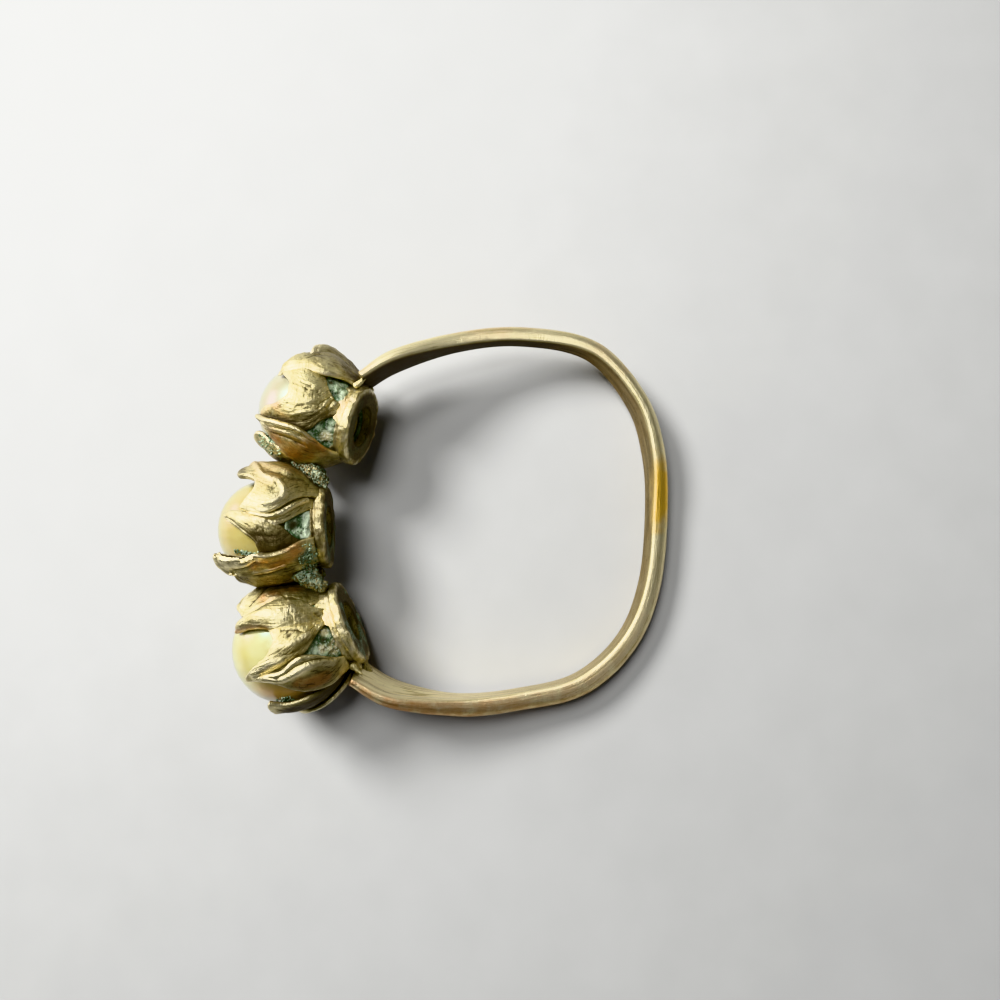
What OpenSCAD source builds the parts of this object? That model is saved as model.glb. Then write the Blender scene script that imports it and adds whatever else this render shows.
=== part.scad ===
// Old ring with three pearls in rosebud cups, lying on its side.
// The metal is soldered into one piece; each pearl stands a hair free of it.
// The ring is drawn flat, its finger hole along Z and its cups toward -Y,
// and is then laid down on two of its cups and the back of its band.

/* [Part] */
// which piece to draw

/* [Band] */
// scale of the band's width, 1 as found
band_width = 1; // [0.7:0.05:1.5]
// scale of the band's thickness, 1 as found
band_thick = 1; // [0.7:0.05:1.5]
// steps from one bend of the band to the next
band_steps = 3; // [2:1:5]

/* [Pearls] */
// diameter of the upper pearl
upper_d = 4.6; // [4:0.1:5]
// diameter of the middle pearl
middle_d = 4.6; // [4:0.1:5]
// diameter of the lower pearl
lower_d = 5; // [4:0.1:5.4]

/* [Cups] */
// air between a pearl and its cup
air = 0.08; // [0.05:0.01:0.15]
// thickness of a petal
petal_thick = 0.25; // [0.2:0.01:0.4]
// step from the inner petals to the ones laid over them
layer_step = 0.31; // [0.3:0.01:0.45]
// thickness of a back collar
collar_thick = 0.45; // [0.3:0.05:0.6]
// radius of the hole in a back collar
collar_hole = 0.95; // [0.7:0.05:1.3]

/* [Rest] */
// how far the cups' side of the ring is lifted off the floor, degrees
rest_pitch = 8.7; // [5:0.1:11]
// how far the upper cup's side is lifted, degrees
rest_roll = 2.8; // [0:0.1:5]

/* [Hidden] */
REST_AT = [-0.862, 2.3, 1.985];

// bends of the band, on its flat inner wall
// x, y, width, thickness
BENDS = [
  [7.75, -6.6, 2.6, 0.6], [8.7, -4.8, 2.5, 0.8], [9.15, -1.9, 1.55, 0.92],
  [8.95, 0.9, 1.25, 0.92], [8.3, 3.7, 1.25, 1], [6.45, 5.85, 1.25, 0.95],
  [3.85, 6.95, 1.4, 0.92], [0.5, 7.3, 1.4, 0.92], [-2.2, 7.25, 1.8, 0.85],
  [-4.7, 6.5, 1.85, 0.8], [-7, 4.4, 1.5, 0.8], [-7.55, 1.1, 1.2, 0.8],
  [-7.2, -1.95, 1.5, 0.78], [-6.3, -4.8, 2.9, 0.72], [-5.35, -6.4, 3.4, 0.5],
];

// cups: centre of the collar's back face, turn in the ring's plane, droop of the front,
// pearl radius, collar's back face to the pearl's centre, collar radius
// x, y, turn, droop, pearl, stem, collar
UPPER = [-3.37, -6.46, 15.4, 15, upper_d / 2, 2.74, 1.85];
MIDDLE = [1.27, -7.91, -2.9, 2, middle_d / 2, 2.65, 1.9];
LOWER = [5.6, -6.83, -22.7, 5, lower_d / 2, 3.1, 1.95];

// petals: where round the cup its middle stands, half its spread, how far over the pearl it
// reaches from the back, lean of the tip, layer of its two edges (0 next to the pearl, 1 over
// a neighbour), outward curl of its tip
// around, half, reach, lean, far_edge, near_edge, curl
UPPER_PETALS = [
  [58, 26, 109, -18, 0, 1, 0], [95, 27, 101, -6, 1, 1, 0.4],
  [12, 32, 107, -20, 0, 0, 0], [-48, 29, 124, 22, 1, 0, 0],
  [-88, 28, 121, 26, 1, 1, 0.1], [-130, 28, 112, 0, 0, 1, 0],
  [178, 28, 112, 0, 0, 0, 0], [136, 27, 112, 0, 1, 0, 0],
];
MIDDLE_PETALS = [
  [78, 30, 106, 0, 0, 0, 0.45], [40, 24, 108, -16, 1, 1, 0],
  [-3, 27, 126, 16, 0, 0, 0], [-45, 24, 126, 6, 1, 1, 0],
  [-88, 27, 116, 0, 0, 0, 0], [-134, 28, 112, 0, 1, 1, 0],
  [-178, 27, 112, 0, 0, 0, 0], [130, 31, 112, 0, 1, 1, 0],
];
LOWER_PETALS = [
  [85, 26, 118, -14, 1, 1, 0.05], [43, 27, 128, 0, 0, 1, 0],
  [7, 20, 122, -22, 0, 0, 0], [-30, 19, 108, 13, 1, 1, 0],
  [-67, 24, 117, 8, 0, 0, 0.1], [-108, 26, 112, 0, 1, 1, 0],
  [-173, 41, 112, 0, 0, 0, 0], [124, 28, 112, 0, 1, 0, 0],
];

// runs of solder: two ends of each run and its radius at them
// x, y, z, x, y, z, radius, radius
SOLDER = [
  [-1.15, -7.65, 0.75, -1.2, -7.7, -0.8, 0.68, 0.7], [-1.25, -8.35, 0.85, -1.2, -8.4, -0.8, 0.55, 0.5],
  [-0.85, -8.15, 1.1, -1.45, -7.8, 0.9, 0.4, 0.5], [-1.3, -9.05, 0.6, -1.2, -9.1, -0.3, 0.35, 0.35],
  [3.5, -7.95, 0.8, 3.55, -8, -0.85, 0.52, 0.5], [3.75, -8.65, 0.7, 3.7, -8.6, -0.6, 0.42, 0.4],
  [3.3, -8.25, 1.15, 3.85, -8.1, 1.05, 0.32, 0.36], [-5.55, -6.05, 1.25, -5, -6.7, 1.15, 0.34, 0.45],
  [-5.5, -5.95, -0.9, -5.05, -6.6, -0.9, 0.3, 0.4], [8, -6.45, 0.75, 7.45, -6.85, 0.85, 0.36, 0.45],
  [8.05, -6.2, -0.6, 7.45, -6.7, -0.7, 0.3, 0.42],
];

// spread of a petal along its length, as a share of its widest
PETAL_FORM = [[0, 0.45], [0.12, 0.6], [0.28, 0.94], [0.5, 1], [0.76, 0.84], [0.9, 0.55], [1, 0.2]];
// cross-section of the band, from edge to edge over its round outside and back over its flat
// inside, as shares of its width and thickness
BAND_FORM = [
  [-0.5, 0.3], [-0.47, 0.55], [-0.38, 0.78], [-0.2, 0.95], [0, 1], [0.2, 0.95], [0.38, 0.78],
  [0.47, 0.55], [0.5, 0.3], [0.46, 0.04], [0.2, 0], [-0.2, 0], [-0.46, 0.04],
];
ALONG = 7;

// smooth curve through four neighbouring rows of a table
function curve(a, b, c, d, t) =
  0.5 * (2 * b + (c - a) * t + (2 * a - 5 * b + 4 * c - d) * t * t
    + (3 * b - a - 3 * c + d) * t * t * t);
function bend(i) = BENDS[max(0, min(len(BENDS) - 1, i))];
function band_row(i, t) = curve(bend(i - 1), bend(i), bend(i + 1), bend(i + 2), t);
function unit(v) = v / norm(v);

// skin of a tube whose rings all have the same count of points, closed at both ends
module tube(rings) {
  n = len(rings[0]);
  m = len(rings);
  pts = [for (r = rings) for (p = r) p];
  walls = [for (i = [0 : m - 2]) for (j = [0 : n - 1]) each [
    [i * n + j, i * n + (j + 1) % n, (i + 1) * n + j],
    [i * n + (j + 1) % n, (i + 1) * n + (j + 1) % n, (i + 1) * n + j]]];
  ends = [for (j = [1 : n - 2]) each [
    [0, j + 1, j], [(m - 1) * n, (m - 1) * n + j, (m - 1) * n + j + 1]]];
  polyhedron(pts, concat(walls, ends), convexity = 8);
}

module band() {
  rows = [for (i = [0 : len(BENDS) - 2]) for (k = [0 : band_steps - 1]) band_row(i, k / band_steps),
    bend(len(BENDS) - 1)];
  m = len(rows);
  tube([for (i = [0 : m - 1])
    let (d = unit([rows[min(m - 1, i + 1)].x - rows[max(0, i - 1)].x,
                   rows[min(m - 1, i + 1)].y - rows[max(0, i - 1)].y]),
         r = rows[i])
    [for (q = BAND_FORM)
      [r.x + d.y * q.y * r[3] * band_thick, r.y - d.x * q.y * r[3] * band_thick,
       q.x * r[2] * band_width]]]);
}

// places what is drawn along +Z, from its back face at Z 0, as a cup of the ring
module at_cup(cup) {
  translate([cup.x, cup.y, 0]) rotate([cup[3], 0, -cup[2]])
    rotate([90, 0, 0]) rotate([0, 0, 90]) children();
}

// radius of a cup's inner face from its pearl's centre, at an angle from its back
function cup_radius(cup, theta) = cup[4] + air + 0.02 + max(0, 48 - theta) * 0.013;
function ease(t) = t * t * (3 - 2 * t);

// layer of a petal at a point across it, from its near edge (-1) to its far edge (1)
function layer(p, e) = p[5] + (p[4] - p[5]) * ease((1 + e) / 2);

function petal_at(cup, p, s, e, out) =
  let (theta = 36 + (p[2] - 36) * s,
       phi = p[0] + p[3] * s * s + e * p[1] * lookup(s, PETAL_FORM),
       roll = 0.1 * layer(p, e) * pow(abs(e), 4) * min(1, 2 * s),
       r = cup_radius(cup, theta) + layer_step * layer(p, e) + roll + p[6] * pow(s, 4)
         + out * petal_thick)
  [r * sin(theta) * cos(phi), r * sin(theta) * sin(phi), cup[5] - r * cos(theta)];

module petal(cup, p) {
  tube([for (i = [0 : ALONG - 1]) concat(
    [for (e = [1, 0.75, 0.4, 0, -0.4, -0.75, -1]) petal_at(cup, p, i / (ALONG - 1), e, 1)],
    [for (e = [-0.95, -0.5, 0, 0.5, 0.95]) petal_at(cup, p, i / (ALONG - 1), e, 0)])]);
}

// back collar with its hole, and the dish in front of it that the pearl sits in
module collar(cup) {
  seat = cup[4] + air + 0.06;
  rim = cup[6];
  function dish(r) = cup[5] - sqrt(seat * seat - r * r);
  rotate_extrude($fn = 26) polygon([
    [collar_hole, 0], [rim - 0.1, 0], [rim, 0.1], [rim, collar_thick - 0.08],
    [rim - 0.12, collar_thick], [rim - 0.04, dish(rim - 0.2) - 0.07],
    [rim - 0.2, dish(rim - 0.2)], [rim - 0.5, dish(rim - 0.5)],
    [collar_hole, dish(collar_hole)]]);
}

module cup(row, petals) {
  at_cup(row) {
    collar(row);
    for (p = petals) petal(row, p);
  }
}

module solder() {
  for (s = SOLDER) hull() {
    translate([s[0], s[1], s[2]]) sphere(s[6], $fn = 8);
    translate([s[3], s[4], s[5]]) sphere(s[7], $fn = 8);
  }
}

module lay_down() {
  translate(REST_AT) rotate([-rest_pitch, rest_roll, 0]) children();
}

module pearl(cup) {
  lay_down() at_cup(cup) translate([0, 0, cup[5]]) sphere(cup[4], $fn = 96);
}

module soldered_mount() {
  color("#b8a468") lay_down() union() {
    band();
    cup(UPPER, UPPER_PETALS);
    cup(MIDDLE, MIDDLE_PETALS);
    cup(LOWER, LOWER_PETALS);
    solder();
  }
}

module pearl_upper() {
  color("#e6dcb4") pearl(UPPER);
}

module pearl_middle() {
  color("#e2d59a") pearl(MIDDLE);
}

module pearl_lower() {
  color("#e4d9a8") pearl(LOWER);
}

soldered_mount();
pearl_upper();
pearl_middle();
pearl_lower();
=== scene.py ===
# %% [markdown]
# # An old ring with three pearls
# The real ring was made at a bench: a half-round brass wire bent to a rounded square, three
# rosebud cups of thin petals, and solder between them. It was gilded once, and most of the
# gold has worn off. Verdigris, the green crust of old brass, sits where no finger rubs.
# This lesson builds it in small steps, and each step prints what it made.

# %% Tools and the frame
import math

import bmesh
import bpy
import numpy as np
from mathutils import Matrix, Vector


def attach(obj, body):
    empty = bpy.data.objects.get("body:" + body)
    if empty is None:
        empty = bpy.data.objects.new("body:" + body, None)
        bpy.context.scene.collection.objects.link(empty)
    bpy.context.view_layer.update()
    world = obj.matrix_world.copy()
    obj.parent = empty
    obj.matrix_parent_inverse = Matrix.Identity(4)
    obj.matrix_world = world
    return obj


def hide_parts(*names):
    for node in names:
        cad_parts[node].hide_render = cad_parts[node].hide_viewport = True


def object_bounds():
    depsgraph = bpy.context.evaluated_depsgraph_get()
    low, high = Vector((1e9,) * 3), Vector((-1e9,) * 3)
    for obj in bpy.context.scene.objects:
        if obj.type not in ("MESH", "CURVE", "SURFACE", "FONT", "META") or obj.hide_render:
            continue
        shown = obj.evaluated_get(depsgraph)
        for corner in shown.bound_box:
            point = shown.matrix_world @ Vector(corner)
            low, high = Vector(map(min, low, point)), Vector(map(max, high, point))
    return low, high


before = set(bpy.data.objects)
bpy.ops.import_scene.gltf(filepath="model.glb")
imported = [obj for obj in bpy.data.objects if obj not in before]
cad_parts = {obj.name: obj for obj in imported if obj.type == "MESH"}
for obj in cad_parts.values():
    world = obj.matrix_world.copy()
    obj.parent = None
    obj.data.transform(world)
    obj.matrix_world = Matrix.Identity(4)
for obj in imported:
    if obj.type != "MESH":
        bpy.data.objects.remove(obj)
cad_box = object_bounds()
cad_size = [round((high - low) * 1000, 2) for low, high in zip(*cad_box)]
print("nodes:", sorted(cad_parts), "size in mm:", cad_size)

# %% [markdown]
# ## Where the ring lies
# The ring is easiest to think of as flat, with its finger hole along Z and its cups toward
# -Y. The real one lies tipped, because two cups are thicker than the band. One turn and one
# shift take every point from the flat ring, in millimetres, to the ring at rest, in metres.

# %% From the flat ring to the ring at rest
MM = 0.001
REST_PITCH = 8.7
REST_ROLL = 2.8
REST_AT = np.array([-0.862, 2.3, 1.985])


def turned(axis, degrees):
    """Matrix that turns points about X, Y or Z."""
    a = math.radians(degrees)
    i, j = {"X": (1, 2), "Y": (2, 0), "Z": (0, 1)}[axis]
    m = np.eye(3)
    m[i, i] = m[j, j] = math.cos(a)
    m[i, j], m[j, i] = -math.sin(a), math.sin(a)
    return m


LAY = turned("Y", REST_ROLL) @ turned("X", -REST_PITCH)


def lay(points):
    """The flat ring's points in millimetres, as points of the ring at rest in metres."""
    return (np.asarray(points) @ LAY.T + REST_AT) * MM


print("the flat ring's middle rests at", (REST_AT * MM).round(5).tolist())

# %% [markdown]
# ## The camera
# The photo was taken from close above, so near parts look bigger than far ones. The camera
# looks straight at the middle of the ring from 34 mm, leaning a few degrees. Its up is the
# ring's -X, which puts the cups on the left of the picture.

# %% Camera
CAMERA_FAR = 33.95
CAMERA_BACK = Vector((0.10103, 0.02963, 0.99444))
CAMERA_UP = Vector((-0.99488, 0.00155, 0.10103))
SENSOR = 36
FOCAL_PX = 713
PICTURE_PX = 1000
NEAREST_SEEN, FURTHEST_SEEN = 0.001, 10

camera_data = bpy.data.cameras.new("camera")
camera_data.sensor_width = SENSOR
camera_data.lens = SENSOR * FOCAL_PX / PICTURE_PX
camera_data.clip_start = NEAREST_SEEN
camera_data.clip_end = FURTHEST_SEEN
camera = bpy.data.objects.new("camera", camera_data)
bpy.context.scene.collection.objects.link(camera)
back = CAMERA_BACK.normalized()
right = CAMERA_UP.cross(back).normalized()
up = back.cross(right)
camera.matrix_world = Matrix.Translation((Vector(REST_AT) + CAMERA_FAR * back) * MM) @ Matrix(
    (right, up, back)).transposed().to_4x4()
bpy.context.scene.camera = camera
print("camera at", [round(v / MM, 2) for v in camera.matrix_world.translation], "mm")

# %% [markdown]
# ## Smooth lines and uneven surfaces
# Nothing on this ring is straight or even. Two helpers give that: one draws a smooth line
# through a few given points, the other gives random heights that change gently
# over a chosen number of millimetres. The numbers come from a fixed sum and not from chance,
# so the ring comes out the same each time.

# %% Smooth lines
STEPS_BETWEEN = 12


def through(points, shares):
    """Smooth line through the points, read at shares of its length from 0 to 1."""
    p = np.array(points, float)
    p = np.vstack([2 * p[0] - p[1], p, 2 * p[-1] - p[-2]])
    t = np.linspace(0, 1, STEPS_BETWEEN, endpoint=False)[:, None]
    line = np.vstack([
        0.5 * (2 * b + (c - a) * t + (2 * a - 5 * b + 4 * c - d) * t**2 + (3 * b - a - 3 * c + d) * t**3)
        for a, b, c, d in zip(p, p[1:], p[2:], p[3:])
    ] + [p[-2]])
    run = np.r_[0, np.cumsum(np.linalg.norm(np.diff(line, axis=0), axis=1))]
    return np.stack([np.interp(np.asarray(shares) * run[-1], run, c) for c in line.T], -1)


print("halfway along an arc:", through([[0, 0], [1, 1], [2, 0]], [0.5]).round(3).tolist())


# %% Uneven heights
SCATTER = (374761393, 668265263, 974634777, 1274126177)
KEEP_32_BITS = 0xFFFFFFFF


def lattice(cell, seed):
    """A number from -1 to 1 that belongs to each whole-number cell."""
    n = cell[..., 0] * SCATTER[0] + cell[..., 1] * SCATTER[1] + cell[..., 2] * SCATTER[2]
    n = (n + seed * SCATTER[3]) & KEEP_32_BITS
    n = ((n ^ (n >> 13)) * SCATTER[3]) & KEEP_32_BITS
    n = ((n ^ (n >> 16)) * SCATTER[1]) & KEEP_32_BITS
    return ((n >> 8) & 0xFFFF) / 32767.5 - 1


def bumps(points, size, seed=0):
    """Gentle random heights from -1 to 1, in lumps of about size, in the points' units."""
    p = np.asarray(points) / size
    cell = np.floor(p).astype(np.int64)
    f = p - cell
    f = f * f * (3 - 2 * f)
    total = 0
    for corner in np.ndindex(2, 2, 2):
        share = np.prod(np.where(corner, f, 1 - f), -1)
        total = total + share * lattice(cell + np.array(corner), seed)
    return total


def rough(points, size, seed=0):
    """Bumps with finer bumps on them, down to a quarter of the size."""
    return (bumps(points, size, seed) + bumps(points, size / 2, seed + 1) / 2
            + bumps(points, size / 4, seed + 2) / 4) / 1.75


def layered(points, layers):
    """Bumps of several sizes added up. Each layer is a height, a size and a seed."""
    return sum(high * bumps(points, size, seed) for high, size, seed in layers)


def ease(t):
    """A share from 0 to 1 that starts and stops gently."""
    t = np.clip(t, 0, 1)
    return t * t * (3 - 2 * t)


probe = rough(np.random.default_rng(1).uniform(0, 9, (2000, 3)), 0.5)
print("rough heights run from", probe.min().round(2), "to", probe.max().round(2))

# %% [markdown]
# ## Making a piece
# Every piece is a closed mesh in mesh code. One helper welds points that fall together, such
# as a petal's tip, puts marks on the points for the finish to read, and tells the frame
# which part of the ring the piece belongs to.

# %% From points to a piece
MARKS = ("wear_and_highlight", "grime_and_shade", "copper", "green", "gold")
WELD_PLACES_PER_MM = 2000
made = {}


def welded(points, faces, marks):
    """The same mesh with points that fall together made one, and empty faces gone."""
    keys = np.round(points * WELD_PLACES_PER_MM).astype(np.int64)
    _, keep, new = np.unique(keys, axis=0, return_index=True, return_inverse=True)
    new = new.ravel()
    tidy = []
    for face in new[np.asarray(faces)].tolist():
        corners = [c for c, after in zip(face, face[1:] + face[:1]) if c != after]
        if len(set(corners)) > 2:
            tidy.append(corners)
    return points[keep], tidy, {k: v[keep] for k, v in marks.items()}


def piece(name, points, faces, finish, slot, node, marks=None, weld=True):
    """Adds a piece to the ring. Its points are in millimetres on the flat ring."""
    marks = dict(marks or {})
    marks.setdefault("run", points)
    marks = {k: v if np.ndim(v) > 1 else np.broadcast_to(v, len(points)) for k, v in marks.items()}
    if weld:
        points, faces, marks = welded(points, faces, marks)
    mesh = bpy.data.meshes.new(name)
    mesh.from_pydata(lay(points).tolist(), [], faces)
    for mark in MARKS:
        values = np.clip(marks.get(mark, np.zeros(len(points))), 0, 1)
        layer = mesh.attributes.new(mark, "FLOAT", "POINT")
        layer.data.foreach_set("value", values.astype(np.float32))
    run = mesh.attributes.new("run", "FLOAT_VECTOR", "POINT")
    run.data.foreach_set("vector", (np.asarray(marks["run"]) * MM).astype(np.float32).ravel())
    mesh.polygons.foreach_set("use_smooth", [True] * len(mesh.polygons))
    mesh.materials.append(finish)
    mesh.update()
    thing = bpy.data.objects.new(name, mesh)
    bpy.context.scene.collection.objects.link(thing)
    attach(thing, "root")
    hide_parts(node)
    made[name] = sum(len(p.vertices) - 2 for p in mesh.polygons)
    return thing


def skin(rows, columns, around=False, closed=False):
    """Faces of a grid of points. around joins its last column to its first, closed its rows."""
    faces = []
    for i in range(rows if closed else rows - 1):
        k = (i + 1) % rows
        for j in range(columns if around else columns - 1):
            m = (j + 1) % columns
            faces.append([i * columns + j, i * columns + m, k * columns + m, k * columns + j])
    return faces


print("a grid of 3 by 4 points has", len(skin(3, 4)), "faces")

# %% [markdown]
# ## Finishes
# Colours are written as they look on a screen, and one function turns them into the linear
# values that light is counted in. One more function adds a node with its settings and links.
# A pattern's size is always given in millimetres.

# %% Colour and node helpers
def colour(hex_code):
    """A screen colour such as #c9b071 as linear red, green, blue and alpha."""
    parts = [int(hex_code[i:i + 2], 16) / 255 for i in (1, 3, 5)]
    return [p / 12.92 if p <= 0.04045 else ((p + 0.055) / 1.055) ** 2.4 for p in parts] + [1]


def per(size_mm):
    """Scale of a texture whose pattern repeats about every size_mm."""
    return 1 / (size_mm * MM)


def add(tree, kind, sets=(), out=None, **inputs):
    """Adds a node and gives back its output. sets holds the node's own settings. inputs gives
    sockets a value or a link, by name, or by number as n0, n1 and n2."""
    node = tree.nodes.new("ShaderNode" + kind)
    for key, value in dict(sets).items():
        setattr(node, key, value)
    for key, value in inputs.items():
        name = key.replace("_", " ")
        named = next((s for s in node.inputs if s.name == name and s.enabled), None)
        socket = named or node.inputs[int(key[1:])]
        if isinstance(value, bpy.types.NodeSocket):
            tree.links.new(value, socket)
        else:
            socket.default_value = value
    return node.outputs[out] if out else next((s for s in node.outputs if s.enabled), None)


def new_finish(name):
    """An empty material and its node tree."""
    finish = bpy.data.materials.new(name)
    finish.use_nodes = True
    finish.node_tree.nodes.clear()
    return finish, finish.node_tree


BLEND = {"data_type": "RGBA"}
SMOOTH_STEP = {"interpolation_type": "SMOOTHSTEP"}
TIMES = {"operation": "MULTIPLY", "use_clamp": True}
MINUS = {"operation": "SUBTRACT", "use_clamp": True}
TIMES_THEN_PLUS = {"operation": "MULTIPLY_ADD", "use_clamp": True}
print("pale gilding in linear light:", [round(c, 3) for c in colour("#d8c48a")[:3]])

# %% [markdown]
# ## Worn gilt brass
# The metal is brass with what is left of a thin gilding. Fingers have rubbed its high places
# to a pale satin and kept them clean, and on some edges and rims that pale is painted
# highlight. Sides and undersides are darkened to olive and brown by the way they face, which
# is part tarnish and part painted shade, and hollows are darkened with painted shade by
# ambient occlusion. Where the gilding is gone the copper in the brass shows orange. It is a
# metal all over, so it keeps the default IOR, and its colour is its reflection. Short brush
# strokes run along each petal, and fine scratches and pits cross them: strokes 0.07 mm apart,
# scratches 0.06, pits 0.1, about as coarse as they need to be to show. The band has a finish
# of its own: long strokes from the drawing of the wire, shallower pits, and a browner colour
# for its tarnish and painted shade, because it is rubbed more evenly than the petals.

# %% Worn gilt brass
STROKE, SCRATCH, PIT, CLOUD = 0.07, 0.06, 0.1, 0.7
HOLLOW = 0.4
# the rubbed pale on the next line is also painted highlight on some edges and rims
GILT_PALE, GILT_DEEP, WORN_AND_HIGHLIGHT_PALE, KEPT_GOLD = "#ede1a8", "#cbbd86", "#fff3c8", "#ffd262"
# the dark dirt colour on the next line also paints shade in hollows and on shaded parts
BARE_COPPER, DIRT_AND_SHADE, THIN_CRUST = "#c68c5a", "#3f3521", "#9fb59c"


def worn_gilt_brass(name, tarnish_and_shade_colour, stroke_stretch, stroke_depth, stroke_dirt, scratch_depth, pit_depth,
                    gloss):
    """The ring's metal. Depths are in millimetres, and a high gloss is a rubbed surface."""
    finish, tree = new_finish(name)
    place = add(tree, "TexCoord", out="Object")
    run = add(tree, "Attribute", {"attribute_name": "run"}, "Vector")
    wear_and_highlight, grime_and_shade, copper, green, gold = [
        add(tree, "Attribute", {"attribute_name": mark}, "Fac") for mark in MARKS]

    # patterns: soft clouds, small pits, brush strokes along the piece and scratches across it
    clouds = add(tree, "TexNoise", Vector=place, Scale=per(CLOUD), Detail=4, Roughness=0.55)
    pits = add(tree, "TexNoise", Vector=place, Scale=per(PIT), Detail=4, Roughness=0.7)
    drawn_out = add(tree, "Mapping", Vector=run, Scale=(stroke_stretch, 1, 1))
    strokes = add(tree, "TexNoise", Vector=drawn_out, Scale=per(STROKE), Detail=3, Roughness=0.6)
    slanted = add(tree, "Mapping", Vector=place, Rotation=(0.4, 0.2, 0.7), Scale=(0.1, 1, 0.4))
    scratches = add(tree, "TexNoise", Vector=slanted, Scale=per(SCRATCH), Detail=2)
    cloudy = add(tree, "MapRange", SMOOTH_STEP, Value=clouds, From_Min=0.3, From_Max=0.7)
    pitted = add(tree, "MapRange", SMOOTH_STEP, Value=pits, From_Min=0.58, From_Max=0.68)
    stroked = add(tree, "MapRange", SMOOTH_STEP, Value=strokes, From_Min=0.54, From_Max=0.66)
    patchy = add(tree, "MapRange", SMOOTH_STEP, Value=strokes, From_Min=0.32, From_Max=0.5)

    # what is left of the gilding, darker on sides and undersides by the way they face: part tarnish, part
    # painted shade
    base = add(tree, "Mix", BLEND, Factor=cloudy, A=colour(GILT_PALE), B=colour(GILT_DEEP))
    upward = add(tree, "SeparateXYZ", out="Z", Vector=add(tree, "NewGeometry", out="Normal"))
    rubbed_and_lit = add(tree, "MapRange", SMOOTH_STEP, Value=upward, From_Min=-0.15, From_Max=0.75)
    unrubbed_and_shaded = add(tree, "Math", MINUS, n0=1.0, n1=rubbed_and_lit)
    tarnish_and_shade = add(tree, "Math", TIMES, n0=unrubbed_and_shaded, n1=0.85)
    base = add(tree, "Mix", BLEND, Factor=tarnish_and_shade, A=base, B=colour(tarnish_and_shade_colour))
    # paler where the wear mark is set: wear, and painted highlight on some edges and rims
    wear_and_highlight_share = add(tree, "Math", TIMES, n0=wear_and_highlight, n1=patchy)
    wear_and_highlight_share = add(tree, "Math", TIMES, n0=wear_and_highlight_share, n1=0.85)
    base = add(tree, "Mix", BLEND, Factor=wear_and_highlight_share, A=base, B=colour(WORN_AND_HIGHLIGHT_PALE))
    bare = add(tree, "MapRange", SMOOTH_STEP, Value=clouds, From_Min=0.2, From_Max=0.6)
    bare = add(tree, "Math", TIMES, n0=copper, n1=bare)
    bare = add(tree, "Math", TIMES, n0=bare, n1=0.75)
    base = add(tree, "Mix", BLEND, Factor=bare, A=base, B=colour(BARE_COPPER))
    kept = add(tree, "Math", TIMES_THEN_PLUS, n0=patchy, n1=0.2, n2=0.8)
    kept = add(tree, "Math", TIMES, n0=gold, n1=kept)
    base = add(tree, "Mix", BLEND, Factor=kept, A=base, B=colour(KEPT_GOLD))

    # darker in hollows by ambient occlusion, which is painted shade, and where the grime mark is set, which
    # is dirt and painted shade; dirt in pits and strokes; and green crust
    open_sky = add(tree, "AmbientOcclusion", {"samples": 8}, "AO", Distance=HOLLOW * MM)
    open_sky = add(tree, "MapRange", SMOOTH_STEP, Value=open_sky, From_Min=0.25, From_Max=0.85)
    dirt_and_shade = add(tree, "Math", MINUS, n0=1.0, n1=open_sky)
    dirt_and_shade = add(tree, "Math", TIMES, n0=dirt_and_shade, n1=0.85)
    dirt_and_shade = add(tree, "Math", TIMES_THEN_PLUS, n0=grime_and_shade, n1=0.95, n2=dirt_and_shade)
    dirt_and_shade = add(tree, "Math", TIMES_THEN_PLUS, n0=pitted, n1=0.4, n2=dirt_and_shade)
    dirt_and_shade = add(tree, "Math", TIMES_THEN_PLUS, n0=stroked, n1=stroke_dirt, n2=dirt_and_shade)
    rubbed_clean = add(tree, "Math", TIMES_THEN_PLUS, n0=wear_and_highlight, n1=-0.6, n2=1.0)
    dirt_and_shade = add(tree, "Math", TIMES, n0=dirt_and_shade, n1=rubbed_clean)
    base = add(tree, "Mix", BLEND, Factor=dirt_and_shade, A=base, B=colour(DIRT_AND_SHADE))
    crusted = add(tree, "MapRange", SMOOTH_STEP, Value=pits, From_Min=0.42, From_Max=0.55)
    crust = add(tree, "Math", TIMES, n0=green, n1=crusted)
    base = add(tree, "Mix", BLEND, Factor=crust, A=base, B=colour(THIN_CRUST))

    # metal, gloss and relief
    dull = add(tree, "Math", TIMES_THEN_PLUS, n0=dirt_and_shade, n1=0.4, n2=crust)
    metal = add(tree, "Math", TIMES_THEN_PLUS, n0=dull, n1=-0.9, n2=1.0)
    satin = add(tree, "Math", TIMES_THEN_PLUS, n0=clouds, n1=0.2, n2=0.4 - gloss)
    satin = add(tree, "Math", TIMES_THEN_PLUS, n0=wear_and_highlight, n1=-0.05, n2=satin)
    satin = add(tree, "Math", TIMES_THEN_PLUS, n0=dull, n1=0.4, n2=satin)
    relief = add(tree, "Bump", Height=strokes, Distance=stroke_depth * MM, Strength=1.0)
    relief = add(tree, "Bump", Height=scratches, Distance=scratch_depth * MM, Strength=0.8, Normal=relief)
    relief = add(tree, "Bump", Height=pits, Distance=pit_depth * MM, Strength=1.0, Normal=relief)
    surface = add(tree, "BsdfPrincipled", Base_Color=base, Metallic=metal, Roughness=satin, Normal=relief)
    add(tree, "OutputMaterial", Surface=surface)
    return finish


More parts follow.
